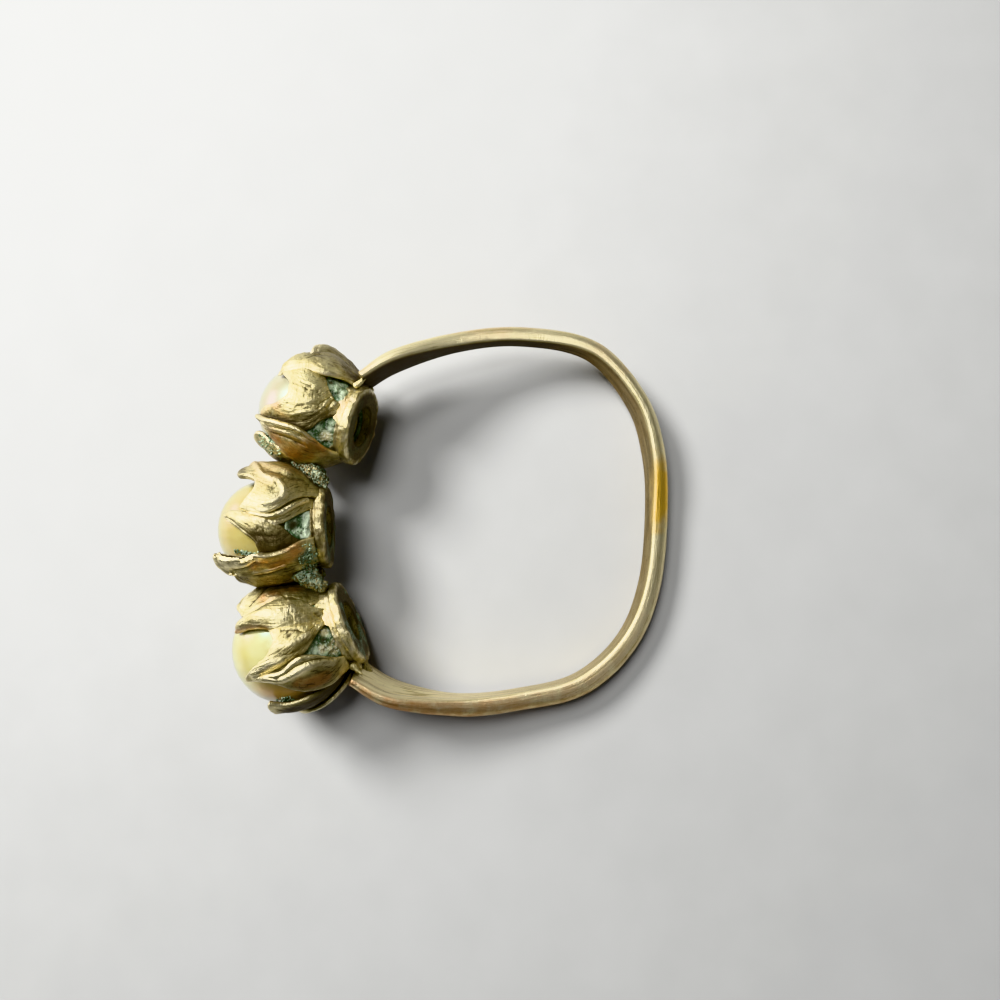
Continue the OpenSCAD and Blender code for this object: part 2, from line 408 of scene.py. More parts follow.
BRASS = worn_gilt_brass("worn_gilt_brass", "#7a6b4d", stroke_stretch=0.2, stroke_depth=0.03, stroke_dirt=0.5,
                        scratch_depth=0.02, pit_depth=0.026, gloss=0.12)
RUBBED_BRASS = worn_gilt_brass("rubbed_gilt_brass", "#8a6a42", stroke_stretch=0.03, stroke_depth=0.014,
                               stroke_dirt=0.2, scratch_depth=0.008, pit_depth=0.018, gloss=0.02)
print(BRASS.name, "has", len(BRASS.node_tree.nodes), "nodes")

# %% [markdown]
# ## Verdigris
# Verdigris is a salt of copper that grows in damp hollows. It is no metal: it is a dry,
# crumbly crust, so it scatters light and has almost no gloss. Old crust is pale grey-green
# with white bloom on its high grains, and its cracks are darkened to a nearly black green by
# ambient occlusion, which is painted shade. Three marks vary it from place to place: fresh
# bloom, crumbs that still carry gilding, and brown dirt.

# %% Verdigris
LUMP, GRIT, CRACK = 0.4, 0.09, 0.2
CRUST_DARK, CRUST_PALE, CRUST_BLOOM, CRUST_POWDER = "#4c6444", "#a8bc98", "#c8d8b8", "#e0e8d6"
CRUMB_DARK, CRUMB_PALE, CRUST_DIRT, CRACK_SHADE = "#c6bd90", "#efe9c6", "#3c3a24", "#2e3424"


def verdigris():
    """The green crust: lumps with paler grit on them, and painted shade in its cracks."""
    finish, tree = new_finish("verdigris")
    place = add(tree, "TexCoord", out="Object")
    bloom, gilding, hollow = [
        add(tree, "Attribute", {"attribute_name": mark}, "Fac") for mark in ("green", "gold", "grime_and_shade")]
    lumps = add(tree, "TexNoise", Vector=place, Scale=per(LUMP), Detail=4)
    grit = add(tree, "TexNoise", Vector=place, Scale=per(GRIT), Detail=3)
    lumpy = add(tree, "MapRange", SMOOTH_STEP, Value=lumps, From_Min=0.42, From_Max=0.6)
    gritty = add(tree, "MapRange", SMOOTH_STEP, Value=grit, From_Min=0.5, From_Max=0.62)
    crust = add(tree, "Mix", BLEND, Factor=lumpy, A=colour(CRUST_DARK), B=colour(CRUST_PALE))
    gilt = add(tree, "Mix", BLEND, Factor=gritty, A=colour(CRUMB_DARK), B=colour(CRUMB_PALE))
    crust = add(tree, "Mix", BLEND, Factor=gilding, A=crust, B=gilt)
    crust = add(tree, "Mix", BLEND, Factor=bloom, A=crust, B=colour(CRUST_BLOOM))
    powder = add(tree, "Math", TIMES, n0=gritty, n1=0.4)
    crust = add(tree, "Mix", BLEND, Factor=powder, A=crust, B=colour(CRUST_POWDER))
    crust = add(tree, "Mix", BLEND, Factor=hollow, A=crust, B=colour(CRUST_DIRT))
    # ambient occlusion darkens the cracks: painted shade
    open_sky = add(tree, "AmbientOcclusion", {"samples": 8}, "AO", Distance=CRACK * MM)
    open_sky = add(tree, "MapRange", SMOOTH_STEP, Value=open_sky, From_Min=0.0, From_Max=0.55)
    crust = add(tree, "Mix", BLEND, Factor=open_sky, A=colour(CRACK_SHADE), B=crust)
    relief = add(tree, "Bump", Height=grit, Distance=0.06 * MM, Strength=1.0)
    surface = add(tree, "BsdfPrincipled", Base_Color=crust, Roughness=0.8, Normal=relief)
    add(tree, "OutputMaterial", Surface=surface)
    return finish


VERDIGRIS = verdigris()
print(VERDIGRIS.name, "has", len(VERDIGRIS.node_tree.nodes), "nodes")

# %% [markdown]
# ## Nacre
# A pearl is built of thousands of thin clear layers of nacre. Light goes into them and comes
# back soft, which is the glow of a pearl, and a little of it mirrors off the top layer. The
# glow is subsurface light, the mirror is a clear coat, and a thin film adds the faint pink
# and green of good nacre. Old pearls yellow, most where the metal touches them.

# %% Nacre
NACRE_CLOUD, NACRE_LAYER = 1.6, 0.35
METAL_STAIN = "#97803f"


def nacre(name, pale, deep, low):
    """A pearl's finish: pale and deep in clouds over its body, and yellowed to low below."""
    finish, tree = new_finish(name)
    place = add(tree, "TexCoord", out="Object")
    clouds = add(tree, "TexNoise", Vector=place, Scale=per(NACRE_CLOUD), Detail=2)
    layers = add(tree, "TexNoise", Vector=place, Scale=per(NACRE_LAYER), Detail=3)
    cloudy = add(tree, "MapRange", SMOOTH_STEP, Value=clouds, From_Min=0.35, From_Max=0.7)
    body = add(tree, "Mix", BLEND, Factor=cloudy, A=colour(pale), B=colour(deep))
    yellowed = add(tree, "Attribute", {"attribute_name": "gold"}, "Fac")
    body = add(tree, "Mix", BLEND, Factor=yellowed, A=body, B=colour(low))
    gripped = add(tree, "Attribute", {"attribute_name": "grime_and_shade"}, "Fac")
    streaky = add(tree, "MapRange", SMOOTH_STEP, Value=layers, From_Min=0.3, From_Max=0.6)
    stained = add(tree, "Math", TIMES, n0=gripped, n1=streaky)
    body = add(tree, "Mix", BLEND, Factor=stained, A=body, B=colour(METAL_STAIN))
    relief = add(tree, "Bump", Height=layers, Distance=0.01 * MM, Strength=0.3)
    surface = add(
        tree, "BsdfPrincipled", Base_Color=body, Normal=relief, Roughness=0.32, IOR=1.55,
        Subsurface_Weight=0.25, Subsurface_Radius=(1.0, 0.85, 0.6), Subsurface_Scale=0.3 * MM,
        Coat_Weight=1.0, Coat_Roughness=0.24, Sheen_Weight=0.12, Thin_Film_Thickness=800, Thin_Film_IOR=1.4)
    add(tree, "OutputMaterial", Surface=surface)
    return finish


print("nacre is ready for three pearls")

# %% [markdown]
# ## The three cups
# Each cup has a collar at its back, a pearl in front of it, and petals that grow from the
# collar round the pearl like a rosebud. Places on a cup are given as on a globe: the angle
# round the cup, 0 on the side that faces up from the table and 90 toward the ring's -X, and
# the angle from the cup's back pole, 90 at the pearl's widest.

# %% Cups
# x and y of the collar's back on the flat ring, the cup's turn and droop in degrees, the
# pearl's radius, the stem from the collar's back to the pearl's centre, the collar's radius
CUPS = {
    "upper": {"x": -3.37, "y": -6.46, "turn": 15.4, "droop": 15, "pearl": 2.3, "stem": 2.74, "rim": 1.85},
    "middle": {"x": 1.27, "y": -7.91, "turn": -2.9, "droop": 2, "pearl": 2.3, "stem": 2.65, "rim": 1.9},
    "lower": {"x": 5.6, "y": -6.83, "turn": -22.7, "droop": 5, "pearl": 2.5, "stem": 3.1, "rim": 1.95},
}
AIR = 0.08
COLLAR_THICK = 0.45
COLLAR_HOLE = 0.95


def cup_matrix(cup):
    """Turns a cup's own X, Y and forward Z to the flat ring's."""
    return turned("Z", -cup["turn"]) @ turned("X", 90 + cup["droop"]) @ turned("Z", 90)


def from_cup(cup, points):
    """Points in a cup's own frame, from its collar's back face, on the flat ring."""
    return np.asarray(points) @ cup_matrix(cup).T + [cup["x"], cup["y"], 0]


def globe(cup, around, tilt, radius):
    """Points round a cup's pearl in the cup's own frame."""
    a, t = np.radians(around), np.radians(tilt)
    return np.stack([radius * np.sin(t) * np.cos(a), radius * np.sin(t) * np.sin(a),
                     cup["stem"] - radius * np.cos(t)], -1)


for name, cup in CUPS.items():
    centre = lay(from_cup(cup, [[0, 0, cup["stem"]]]))[0]
    print(name, "pearl is centred at", (centre / MM).round(2).tolist(), "mm")

# %% [markdown]
# ## Pearls
# A pearl is never a true ball. Each one is a fine sphere whose points are moved a hundredth
# of a millimetre or so in and out, with faint growth rings. The dirt mark is set where the
# petals grip the pearl, because dirt gathers there, and the gold mark where it has yellowed.

# %% Pearls
PEARL_FINISH = {
    "upper": ("#989479", "#958f71", "#8f8459"), "middle": ("#a69b63", "#9b8c4d", "#98803a"),
    "lower": ("#b3af7e", "#aba365", "#dba64a"),
}
PEARL_RINGS = 72
PEARL_STEPS = 108
PEARL_SWELL = [(0.012, 0.6, 5), (0.004, 0.16, 6)]
GROWTH_RING, RING_TURNS = 0.003, 40
PEARL_SHRINK = 0.02
GRIP_TILT = 84
for name, cup in CUPS.items():
    tilt, around = np.meshgrid(
        np.linspace(0, 180, PEARL_RINGS), np.arange(PEARL_STEPS) * 360 / PEARL_STEPS, indexing="ij")
    unit_points = (globe(cup, around, tilt, 1.0) - [0, 0, cup["stem"]]).reshape(-1, 3)
    waver = 3 * bumps(unit_points, 0.5, 7)
    swell = layered(unit_points, PEARL_SWELL)
    swell += GROWTH_RING * np.sin(unit_points[:, 1] * RING_TURNS + waver)
    reach = cup["pearl"] - PEARL_SHRINK + swell
    points = unit_points * reach[:, None] + [0, 0, cup["stem"]]
    held = 1 - np.clip((tilt.ravel() - GRIP_TILT) / 16, 0, 1)
    low = ease(-unit_points[:, 1] * 1.6 + 0.3 * bumps(unit_points, 0.5, 8) - 0.35)
    piece("nacre_" + name, from_cup(cup, points), skin(PEARL_RINGS, PEARL_STEPS, around=True),
          nacre("nacre_" + name, *PEARL_FINISH[name]), "pearl", "pearl_" + name,
          {"grime_and_shade": held * 0.8, "gold": low})
    print("nacre_" + name, "has", made["nacre_" + name], "triangles")

# %% [markdown]
# ## A petal
# A petal was cut from thin sheet, hammered over a ball and bent to the pearl. Here it is a
# sheet between two edge lines that run from the collar to the tip, drawn as places
# on the globe. A third line gives a front that isn't a point. The sheet is thickened and its
# rim made round, its edges are raised where they lie over a neighbour, and folds, dents and
# creases are lines along which the metal is pushed out or in.

# %% Across and along a petal
THICK = 0.23
LAYER = 0.31
RIM = np.array([0, 0.1, 0.32, 0.64, 1.0]) * THICK / 2
OVER_PEARL = 0.3
LINE_STEPS = 40
FAR_AWAY = 9.0


def crowded(width, count):
    """Shares across strips of each width, crowded at both edges so that a rim comes out round."""
    width = np.maximum(width, 1e-6)[:, None]
    rim = RIM * np.minimum(1, width / (5 * RIM[-1])) / width
    middle = np.linspace(rim[:, -1], 1 - rim[:, -1], count - 2 * len(RIM) + 2, axis=1)[:, 1:-1]
    return np.hstack([rim, middle, 1 - rim[:, ::-1]])


def petal_grid(cup, near, far, front, rows, columns):
    """Shares along and across a petal, its length and widths, and its points' places on the globe."""
    length = np.radians(np.ptp(np.array(near)[:, 1])) * cup["pearl"]
    s = crowded(np.array([length]), rows)[0]
    one, two = through(near, s), through(far, s)
    r = cup["pearl"] + OVER_PEARL
    gap = globe(cup, one[:, 0], one[:, 1], r) - globe(cup, two[:, 0], two[:, 1], r)
    width = np.linalg.norm(gap, axis=1)
    w = crowded(width, columns)
    place = one[:, None] * (1 - w[..., None]) + two[:, None] * w[..., None]
    if front is not None:
        edge = through(front, w[-1])
        place += (edge - place[-1])[None] * (s**2)[:, None, None]
    return s[:, None], w, length, width[:, None], place[..., 0], place[..., 1]


def line_distance(cup, around, tilt, line):
    """Millimetres on the cup from each place to a line of places."""
    r = cup["pearl"] + OVER_PEARL
    middle = [0, 0, cup["stem"]]
    here = globe(cup, around, tilt, r) - middle
    line = np.array(line if len(line) > 1 else [line[0], line[0]], float)
    path = through(line, np.linspace(0, 1, LINE_STEPS))
    there = globe(cup, path[:, 0], path[:, 1], r) - middle
    nearest = np.full(around.shape, FAR_AWAY)
    for point in there:
        nearest = np.minimum(nearest, np.linalg.norm(here - point, axis=-1))
    return nearest


print("a rim is rounded over", round(RIM[-1], 3), "mm")

# %% Faces and marks of a petal
# how much darker a petal's underside is than its top
UNDERSIDE_DARK = 0.6


def outward_normals(sheet, centre):
    """Directions out of a sheet of points, leaning away from a centre."""
    normal = np.cross(np.gradient(sheet, axis=1), np.gradient(sheet, axis=0))
    outward = sheet - centre
    outward /= np.linalg.norm(outward, axis=-1)[..., None]
    size = np.linalg.norm(normal, axis=-1)[..., None]
    normal = np.where(size > 1e-7, normal / np.maximum(size, 1e-9), outward)
    normal *= np.sign(np.sum(normal * outward, -1))[..., None]
    normal = normal + outward
    return normal / np.linalg.norm(normal, axis=-1)[..., None]


# Dark stains on petals are dirt in some places and painted shade in others, and pale ones are wear in some
# places and painted highlight in others.
def petal_marks(cup, around, tilt, wear_and_highlight, grime_and_shade, stains):
    """Marks of a petal's two faces. Each stain is its kind, a line, its width in mm and its amount."""
    stain = {"copper": 0 * wear_and_highlight, "green": 0 * wear_and_highlight, "grime_and_shade": grime_and_shade, "wear_and_highlight": wear_and_highlight}
    for kind, line, wide, amount in stains:
        to = line_distance(cup, around, tilt, line)
        stain[kind] = np.maximum(stain[kind], amount * ease(1.4 - to / wide))
    stain["wear_and_highlight"] = stain["wear_and_highlight"] * (1 - 0.8 * np.clip(stain["grime_and_shade"], 0, 1))
    return {kind: np.r_[values.ravel(), np.full(values.size, UNDERSIDE_DARK if kind == "grime_and_shade" else 0.0)]
            for kind, values in stain.items()}


print("a petal's underside keeps", UNDERSIDE_DARK, "of the dirt")

# %% Petal
EDGE_ROLL, EDGE_LIP, EDGE_WORN, EDGE_SMOOTH = 0.26, 0.24, 0.16, 0.12
HAMMERED = [(0.026, 0.5), (0.016, 0.2), (0.009, 0.09)]
CREASE_DEEP, CREASE_LONG, CREASE_WIDE = 0.011, 0.8, 0.11
BASE_FLARE, BASE_TILT_END = 0.013, 48


def petal(name, near, far, front=None, lift=(0, 0), lip=(0.03, 0.03, 0.02), roll=(0, 0, 0), curl=(0, 0),
          belly=0.05, folds=(), stains=(), rows=84, columns=76, seed=0):
    """A petal between its near and far edges. Paired values are for those two, a third for its front.
    Each fold is a line, its width and its height in mm, and a stain is as in petal_marks."""
    cup = CUPS[name.split("_")[0]]
    s, w, length, width, around, tilt = petal_grid(cup, near, far, front, rows, columns)
    to_near, to_far = w * width, (1 - w) * width
    to_tip, to_base = np.broadcast_arrays((1 - s) * length, w)[0], s * length
    to_edge = np.minimum(np.minimum(to_near, to_far), np.minimum(to_tip, to_base))
    out = ease(s * 1.6)
    broad = ease(width / 0.9)

    # how thick it is, thickened where an edge is rolled
    rolled = 0
    for to, more in zip((to_near, to_far, to_tip), roll):
        rolled = rolled + more * np.exp(-(to / EDGE_ROLL) ** 2)
    half = THICK / 2 * np.sqrt(1 - (1 - np.clip(to_edge / (THICK / 2), 0, 1)) ** 2)
    half = half * (1 + np.clip(rolled, -0.6, 1) * out)

    # how far it stands off the pearl
    push = belly * np.sin(np.pi * w) * out
    for to, height in zip((to_near, to_far, to_tip), lip):
        push = push + height * np.exp(-(to / EDGE_LIP) ** 2) * out
    push = LAYER * (lift[0] + (lift[1] - lift[0]) * ease(w)) * (0.35 + 0.65 * broad) + push * broad
    push = push + (curl[0] * (1 - w) + curl[1] * w) * s**4

    # its folds, dents and creases
    shape = 0
    for line, wide, high in folds:
        shape = shape + high * np.exp(-(line_distance(cup, around, tilt, line) / wide) ** 2)
    flat = globe(cup, around, tilt, cup["pearl"] + OVER_PEARL)
    for k, (high, size) in enumerate(HAMMERED):
        shape = shape + high * bumps(flat, size, seed + k)
    creases = np.stack([s * length / CREASE_LONG + 0 * w, w * width / CREASE_WIDE, 0 * w], -1)
    shape = shape + CREASE_DEEP * bumps(creases, 1, seed + 3)

    # its middle surface, its two faces and their marks
    seat = cup["pearl"] + AIR + 0.02 + np.maximum(0, BASE_TILT_END - tilt) * BASE_FLARE + THICK / 2
    off = np.maximum(seat + push + shape * ease(to_edge / EDGE_SMOOTH), seat - 0.04)
    middle = globe(cup, around, tilt, off)
    normal = outward_normals(middle, [0, 0, cup["stem"]])
    top, bottom = middle + normal * half[..., None], middle - normal * np.minimum(half, THICK / 2)[..., None]
    points = np.vstack([top.reshape(-1, 3), bottom.reshape(-1, 3)])
    faces = skin(rows, columns)
    faces = [f[::-1] for f in faces] + [[c + rows * columns for c in f] for f in faces]
    # brighter near its edges and on raised folds, darker in dents and creases
    wear_and_highlight = np.exp(-(to_edge / EDGE_WORN) ** 2) * out + np.clip(shape / 0.06, 0, 1)
    marks = petal_marks(cup, around, tilt, wear_and_highlight, np.clip(-shape / 0.05, 0, 1) * 0.8, stains)
    run = np.stack([0 * w + s * length, w * width, 0 * w + seed], -1).reshape(-1, 3)
    marks["run"] = np.vstack([run, run])
    return piece("petal_" + name, from_cup(cup, points), faces, BRASS, "gilt_metal", "soldered_mount", marks)


print("petals are", THICK, "mm thick and lie", LAYER, "mm over each other")

# %% [markdown]
# ## Petals that show
# These are the petals that the photo shows, drawn place by place. Each one is listed with
# its edges from the collar to the tip.
# Some dark stains on them are painted shade and some pale ones painted highlight, as noted at each petal.

# %% Upper cup
# the dark stain on the leaf's far part is painted shade
petal("upper_leaf",
      near=[(56, 37), (54, 47), (45, 56), (37, 68), (36, 80), (32, 92), (28, 103), (28, 114)],
      far=[(120, 37), (120, 52), (116, 66), (106, 80), (92, 91), (72, 100), (50, 109), (32, 115)],
      lift=(1, 0.8), lip=(-0.07, 0.0, -0.05), roll=(-0.35, 0, -0.3), belly=0.1, curl=(-0.26, -0.34),
      folds=[([(86, 82), (74, 76), (62, 70)], 0.4, 0.12), ([(62, 93), (72, 91)], 0.14, -0.1),
             ([(50, 92), (56, 88), (60, 82)], 0.05, -0.07), ([(48, 88), (58, 84)], 0.05, -0.06),
             ([(62, 78), (56, 66), (54, 54)], 0.07, -0.03), ([(58, 98), (48, 103)], 0.1, 0.04)],
      stains=[("grime_and_shade", [(64, 80), (72, 70), (76, 60), (72, 48)], 0.8, 0.85)], seed=11)
# the dark stain on the crest's far part is painted shade
petal("upper_crest",
      near=[(60, 37), (64, 50), (72, 62), (78, 72), (72, 83), (56, 92)],
      far=[(126, 37), (124, 50), (120, 62), (114, 74), (108, 82), (102, 88)],
      front=[(56, 92), (64, 94), (74, 95), (88, 94), (102, 88)],
      lift=(0.8, 1.2), lip=(-0.1, 0.0, 0.0), roll=(-0.5, 0, 0.5), curl=(-0.05, 0.0), belly=0.3,
      folds=[([(70, 88), (80, 87), (94, 86)], 0.34, 0.16), ([(66, 90), (76, 92), (86, 91)], 0.06, -0.07)],
      stains=[("grime_and_shade", [(80, 74), (82, 62), (80, 48)], 0.9, 0.8)], seed=12)
petal("upper_pad",
      near=[(-1, 38), (-8, 47), (-15, 54), (-24, 61), (-29, 70), (-30, 82), (-30, 94), (-29, 106), (-26, 115),
            (-22, 122)],
      far=[(20, 38), (21, 46), (27, 54), (35, 61), (45, 69), (52, 78), (54, 88), (49, 98), (41, 106),
           (34, 111)],
      front=[(-22, 122), (-15, 117), (-10, 110), (-6, 98), (2, 89), (10, 90), (18, 93), (26, 104), (34, 113)],
      lip=(0, 0, -0.04), roll=(0, 0, -0.3), belly=0.22,
      folds=[([(20, 46), (5, 51)], 0.06, -0.03), ([(19, 49), (7, 54)], 0.05, 0.025),
             ([(19, 51), (7, 58)], 0.05, -0.03), ([(16, 44), (5, 47)], 0.05, 0.025),
             ([(14, 74)], 0.09, -0.06), ([(16, 86), (15, 72)], 0.04, -0.03),
             ([(20, 84), (18, 70)], 0.04, -0.025),
             ([(-12, 80), (-7, 69), (-3, 59)], 0.06, 0.03), ([(-4, 77), (1, 67), (4, 59)], 0.06, -0.03),
             ([(-17, 100), (-18, 84), (-14, 66)], 0.22, -0.05)],
      stains=[("copper", [(-20, 114), (-12, 104), (-8, 95)], 0.2, 0.6),
              ("copper", [(-14, 96), (-16, 84)], 0.16, 0.4),
              ("grime_and_shade", [(-28, 104), (-26, 84), (-22, 66), (-10, 48)], 0.6, 0.85)],
      rows=116, columns=106, seed=13)
petal("upper_lip",
      near=[(-86, 37), (-84, 50), (-80, 62), (-72, 74), (-60, 84), (-48, 92), (-40, 101), (-33, 110),
            (-27, 120)],
      far=[(-58, 37), (-50, 44), (-41, 51), (-32, 58), (-25, 66), (-21, 76), (-20, 86), (-20, 96), (-21, 107),
           (-22, 120)],
      lift=(0.7, 1), lip=(-0.05, 0.10, 0.0), roll=(-0.3, 0.7, 0.3), belly=0.0,
      folds=[([(-23, 100), (-24, 86), (-26, 73), (-31, 64), (-36, 56)], 0.05, -0.07),
             ([(-27, 106), (-29, 96), (-29, 84), (-31, 74), (-36, 64)], 0.07, 0.06),
             ([(-31, 102), (-33, 90), (-35, 78), (-40, 66)], 0.07, -0.06)],
      stains=[("copper", [(-40, 92), (-46, 82), (-48, 68), (-43, 58)], 0.6, 1.0),
              ("grime_and_shade", [(-31, 99), (-31, 84), (-35, 70)], 0.12, 0.6),
              ("grime_and_shade", [(-42, 90), (-46, 74), (-44, 60)], 0.3, 0.4)], seed=14)
petal("upper_flare",
      near=[(-122, 37), (-122, 54), (-118, 72), (-110, 90), (-100, 106), (-90, 120), (-78, 128)],
      far=[(-66, 37), (-62, 52), (-58, 68), (-54, 82), (-52, 94), (-48, 106), (-44, 116), (-46, 124)],
      front=[(-78, 128), (-70, 130), (-60, 130), (-52, 128), (-46, 124)],
      lip=(0.0, 0.0, 0.1), roll=(0, 0, 0.1),
      stains=[("copper", [(-62, 74), (-66, 60)], 0.35, 0.7)], seed=15)
print("upper cup:", [n for n in made if n.startswith("petal_upper")])

# %% Middle cup
petal("middle_pad",
      near=[(44, 37), (38, 48), (28, 60), (19, 70), (14, 79), (13, 88), (16, 98), (21, 108)],
      far=[(122, 37), (122, 52), (120, 68), (116, 84), (108, 98), (98, 106)],
      front=[(21, 108), (27, 102), (36, 94), (45, 93), (51, 100), (56, 109), (66, 112), (80, 111), (98, 106)],
      lift=(1, 1.1), lip=(-0.03, 0.0, 0.02), roll=(-0.2, 0, 0.3), curl=(-0.24, -0.1), belly=0.22,
      folds=[([(82, 102), (68, 96), (52, 88), (46, 80), (44, 74), (39, 70), (32, 68), (25, 73), (21, 82)],
              0.09, 0.09),
             ([(36, 77)], 0.17, -0.05), ([(72, 94), (62, 82), (58, 68)], 0.16, 0.07),
             ([(44, 80), (38, 75)], 0.04, 0.03), ([(54, 80), (52, 66), (60, 54)], 0.12, -0.05)],
      stains=[("grime_and_shade", [(48, 62), (56, 50)], 0.5, 0.5), ("copper", [(76, 76), (72, 62)], 0.35, 0.45),
              ("grime_and_shade", [(70, 98), (56, 88), (46, 74)], 1.0, 0.36),
              ("copper", [(66, 92), (50, 84)], 0.5, 0.35),
              ("grime_and_shade", [(78, 110), (66, 109), (55, 105)], 0.24, 0.85)],
      rows=106, columns=116, seed=21)
petal("middle_strip",
      near=[(26, 38), (18, 48), (10, 58), (4, 68), (3, 80), (6, 90), (12, 100)],
      far=[(50, 38), (46, 50), (40, 62), (32, 74), (28, 84), (26, 92), (26, 101)],
      lift=(0.3, 0.3), lip=(-0.05, 0, 0), roll=(-0.4, -0.4, -0.4), belly=0.0,
      folds=[([(36, 46), (23, 59), (14, 70), (11, 80), (14, 95)], 0.07, 0.14)],
      stains=[("grime_and_shade", [(22, 52), (8, 68)], 0.14, 0.5)], seed=22)
# the dark stain on the leaf's lower body is painted shade
petal("middle_leaf",
      near=[(-24, 38), (-22, 50), (-24, 60), (-28, 70), (-31, 79), (-28, 87), (-22, 90), (-14, 92), (-9, 96),
            (-5, 101), (2, 109), (9, 118), (17, 127)],
      far=[(-20, 40), (-16, 50), (-9, 58), (-1, 65), (6, 73), (12, 82), (15, 92), (18, 101), (21, 111),
           (23, 120), (20, 127)],
      lip=(0.04, -0.02, 0.0), roll=(0.1, -0.3, 0), belly=0.16,
      folds=[([(9, 90), (8, 81), (5, 73)], 0.10, 0.05),
             ([(14, 120), (7, 110), (0, 102), (-6, 95), (-12, 90)], 0.06, -0.07),
             ([(0, 88)], 0.05, -0.05), ([(4, 98)], 0.05, -0.05), ([(-2, 84)], 0.05, -0.04),
             ([(6, 92), (0, 80)], 0.05, 0.03), ([(-6, 90), (-8, 78)], 0.12, -0.05)],
      stains=[("grime_and_shade", [(-12, 90), (-16, 80), (-13, 64), (-8, 52)], 0.8, 1.0),
              ("grime_and_shade", [(2, 88), (0, 80)], 0.14, 0.45)],
      rows=110, columns=94, seed=23)
# the pale strip along the bead is painted highlight
petal("middle_lip",
      near=[(-60, 38), (-56, 50), (-52, 62), (-50, 74), (-49, 88), (-49, 100), (-48, 109), (-47, 116)],
      far=[(-14, 40), (-15, 50), (-17, 58), (-20, 66), (-22, 76), (-22, 83), (-21, 88), (-22, 92), (-25, 98),
           (-27, 106), (-29, 113), (-30, 119)],
      front=[(-47, 116), (-46, 123), (-42, 129), (-35, 133), (-27, 132), (-29, 128), (-31, 124), (-30, 119)],
      lift=(0.7, 0.8), lip=(0.0, 0.08, 0.07), roll=(0, 0.9, 1), belly=0.0,
      folds=[([(-31, 130), (-37, 129), (-37, 123), (-34, 116), (-31, 107), (-28, 98), (-24, 92)], 0.24, 0.07),
             ([(-41, 116), (-38, 108), (-34, 100), (-28, 92)], 0.07, -0.07),
             ([(-42, 96), (-40, 80), (-38, 70)], 0.06, 0.05),
             ([(-45, 96), (-43, 80), (-41, 70)], 0.06, -0.06)],
      stains=[("copper", [(-34, 92), (-33, 80), (-29, 68), (-22, 56)], 0.36, 1.0),
              ("wear_and_highlight", [(-30, 131), (-37, 129), (-35, 118), (-31, 107), (-28, 99), (-24, 92)], 0.32, 1.0),
              ("grime_and_shade", [(-24, 84), (-22, 74), (-18, 60)], 0.14, 0.55),
              ("green", [(-36, 50), (-40, 42)], 0.3, 0.9), ("grime_and_shade", [(-38, 56), (-34, 48)], 0.26, 0.8),
              ("grime_and_shade", [(-47, 104), (-47, 88), (-46, 66)], 0.3, 0.8)], rows=126, columns=94, seed=24)
petal("middle_under",
      near=[(-118, 37), (-116, 54), (-111, 72), (-104, 88), (-96, 102), (-86, 113), (-74, 119)],
      far=[(-44, 38), (-42, 54), (-42, 72), (-43, 88), (-45, 102), (-48, 114), (-56, 120)],
      lift=(0, 0.2), lip=(0.03, 0.03, 0.05),
      stains=[("grime_and_shade", [(-60, 108), (-56, 94), (-54, 76)], 1.0, 0.75)], seed=25)
print("middle cup:", [n for n in made if n.startswith("petal_middle")])

# %% Lower cup
petal("lower_top",
      near=[(50, 37), (44, 46), (44, 55), (46, 63), (46, 73), (43, 84), (42, 94), (46, 103), (53, 109)],
      far=[(114, 37), (114, 56), (110, 72), (104, 86), (96, 97), (84, 106), (68, 112)],
      front=[(53, 109), (58, 110), (63, 112), (68, 112)],
      lift=(0.1, 0.6), lip=(0.0, 0.05, 0.0), roll=(0, 0.2, 0), belly=0.08,
      folds=[([(58, 98), (65, 90), (78, 82)], 0.08, -0.08), ([(57, 68), (51, 66)], 0.05, -0.03),
             ([(62, 106), (74, 100), (86, 91)], 0.12, 0.08)],
      stains=[("copper", [(60, 82), (70, 72), (72, 62)], 0.45, 0.9),
              ("grime_and_shade", [(60, 96), (67, 88)], 0.12, 0.5)], seed=31)
petal("lower_broad",
      near=[(22, 37), (19, 46), (20, 58), (20, 68), (21, 76), (25, 84), (29, 91), (34, 102), (38, 113),
            (43, 122)],
      far=[(37, 37), (38, 44), (46, 53), (52, 62), (53, 72), (51, 82), (48, 92), (48, 102), (49, 112),
           (46, 122)],
      lift=(0.1, 0.8), lip=(-0.02, -0.08, 0.0), roll=(0.3, -0.4, 0), belly=0.3, curl=(-0.14, -0.2),
      folds=[([(50, 50), (44, 46)], 0.10, -0.05), ([(30, 45), (27, 41)], 0.08, -0.05),
             ([(36, 92), (34, 74), (30, 60)], 0.3, 0.03), ([(40, 98), (44, 84), (44, 70)], 0.2, -0.02)],
      stains=[("copper", [(27, 88), (32, 98), (37, 110), (41, 118)], 0.16, 0.9)],
      rows=106, columns=90, seed=32)
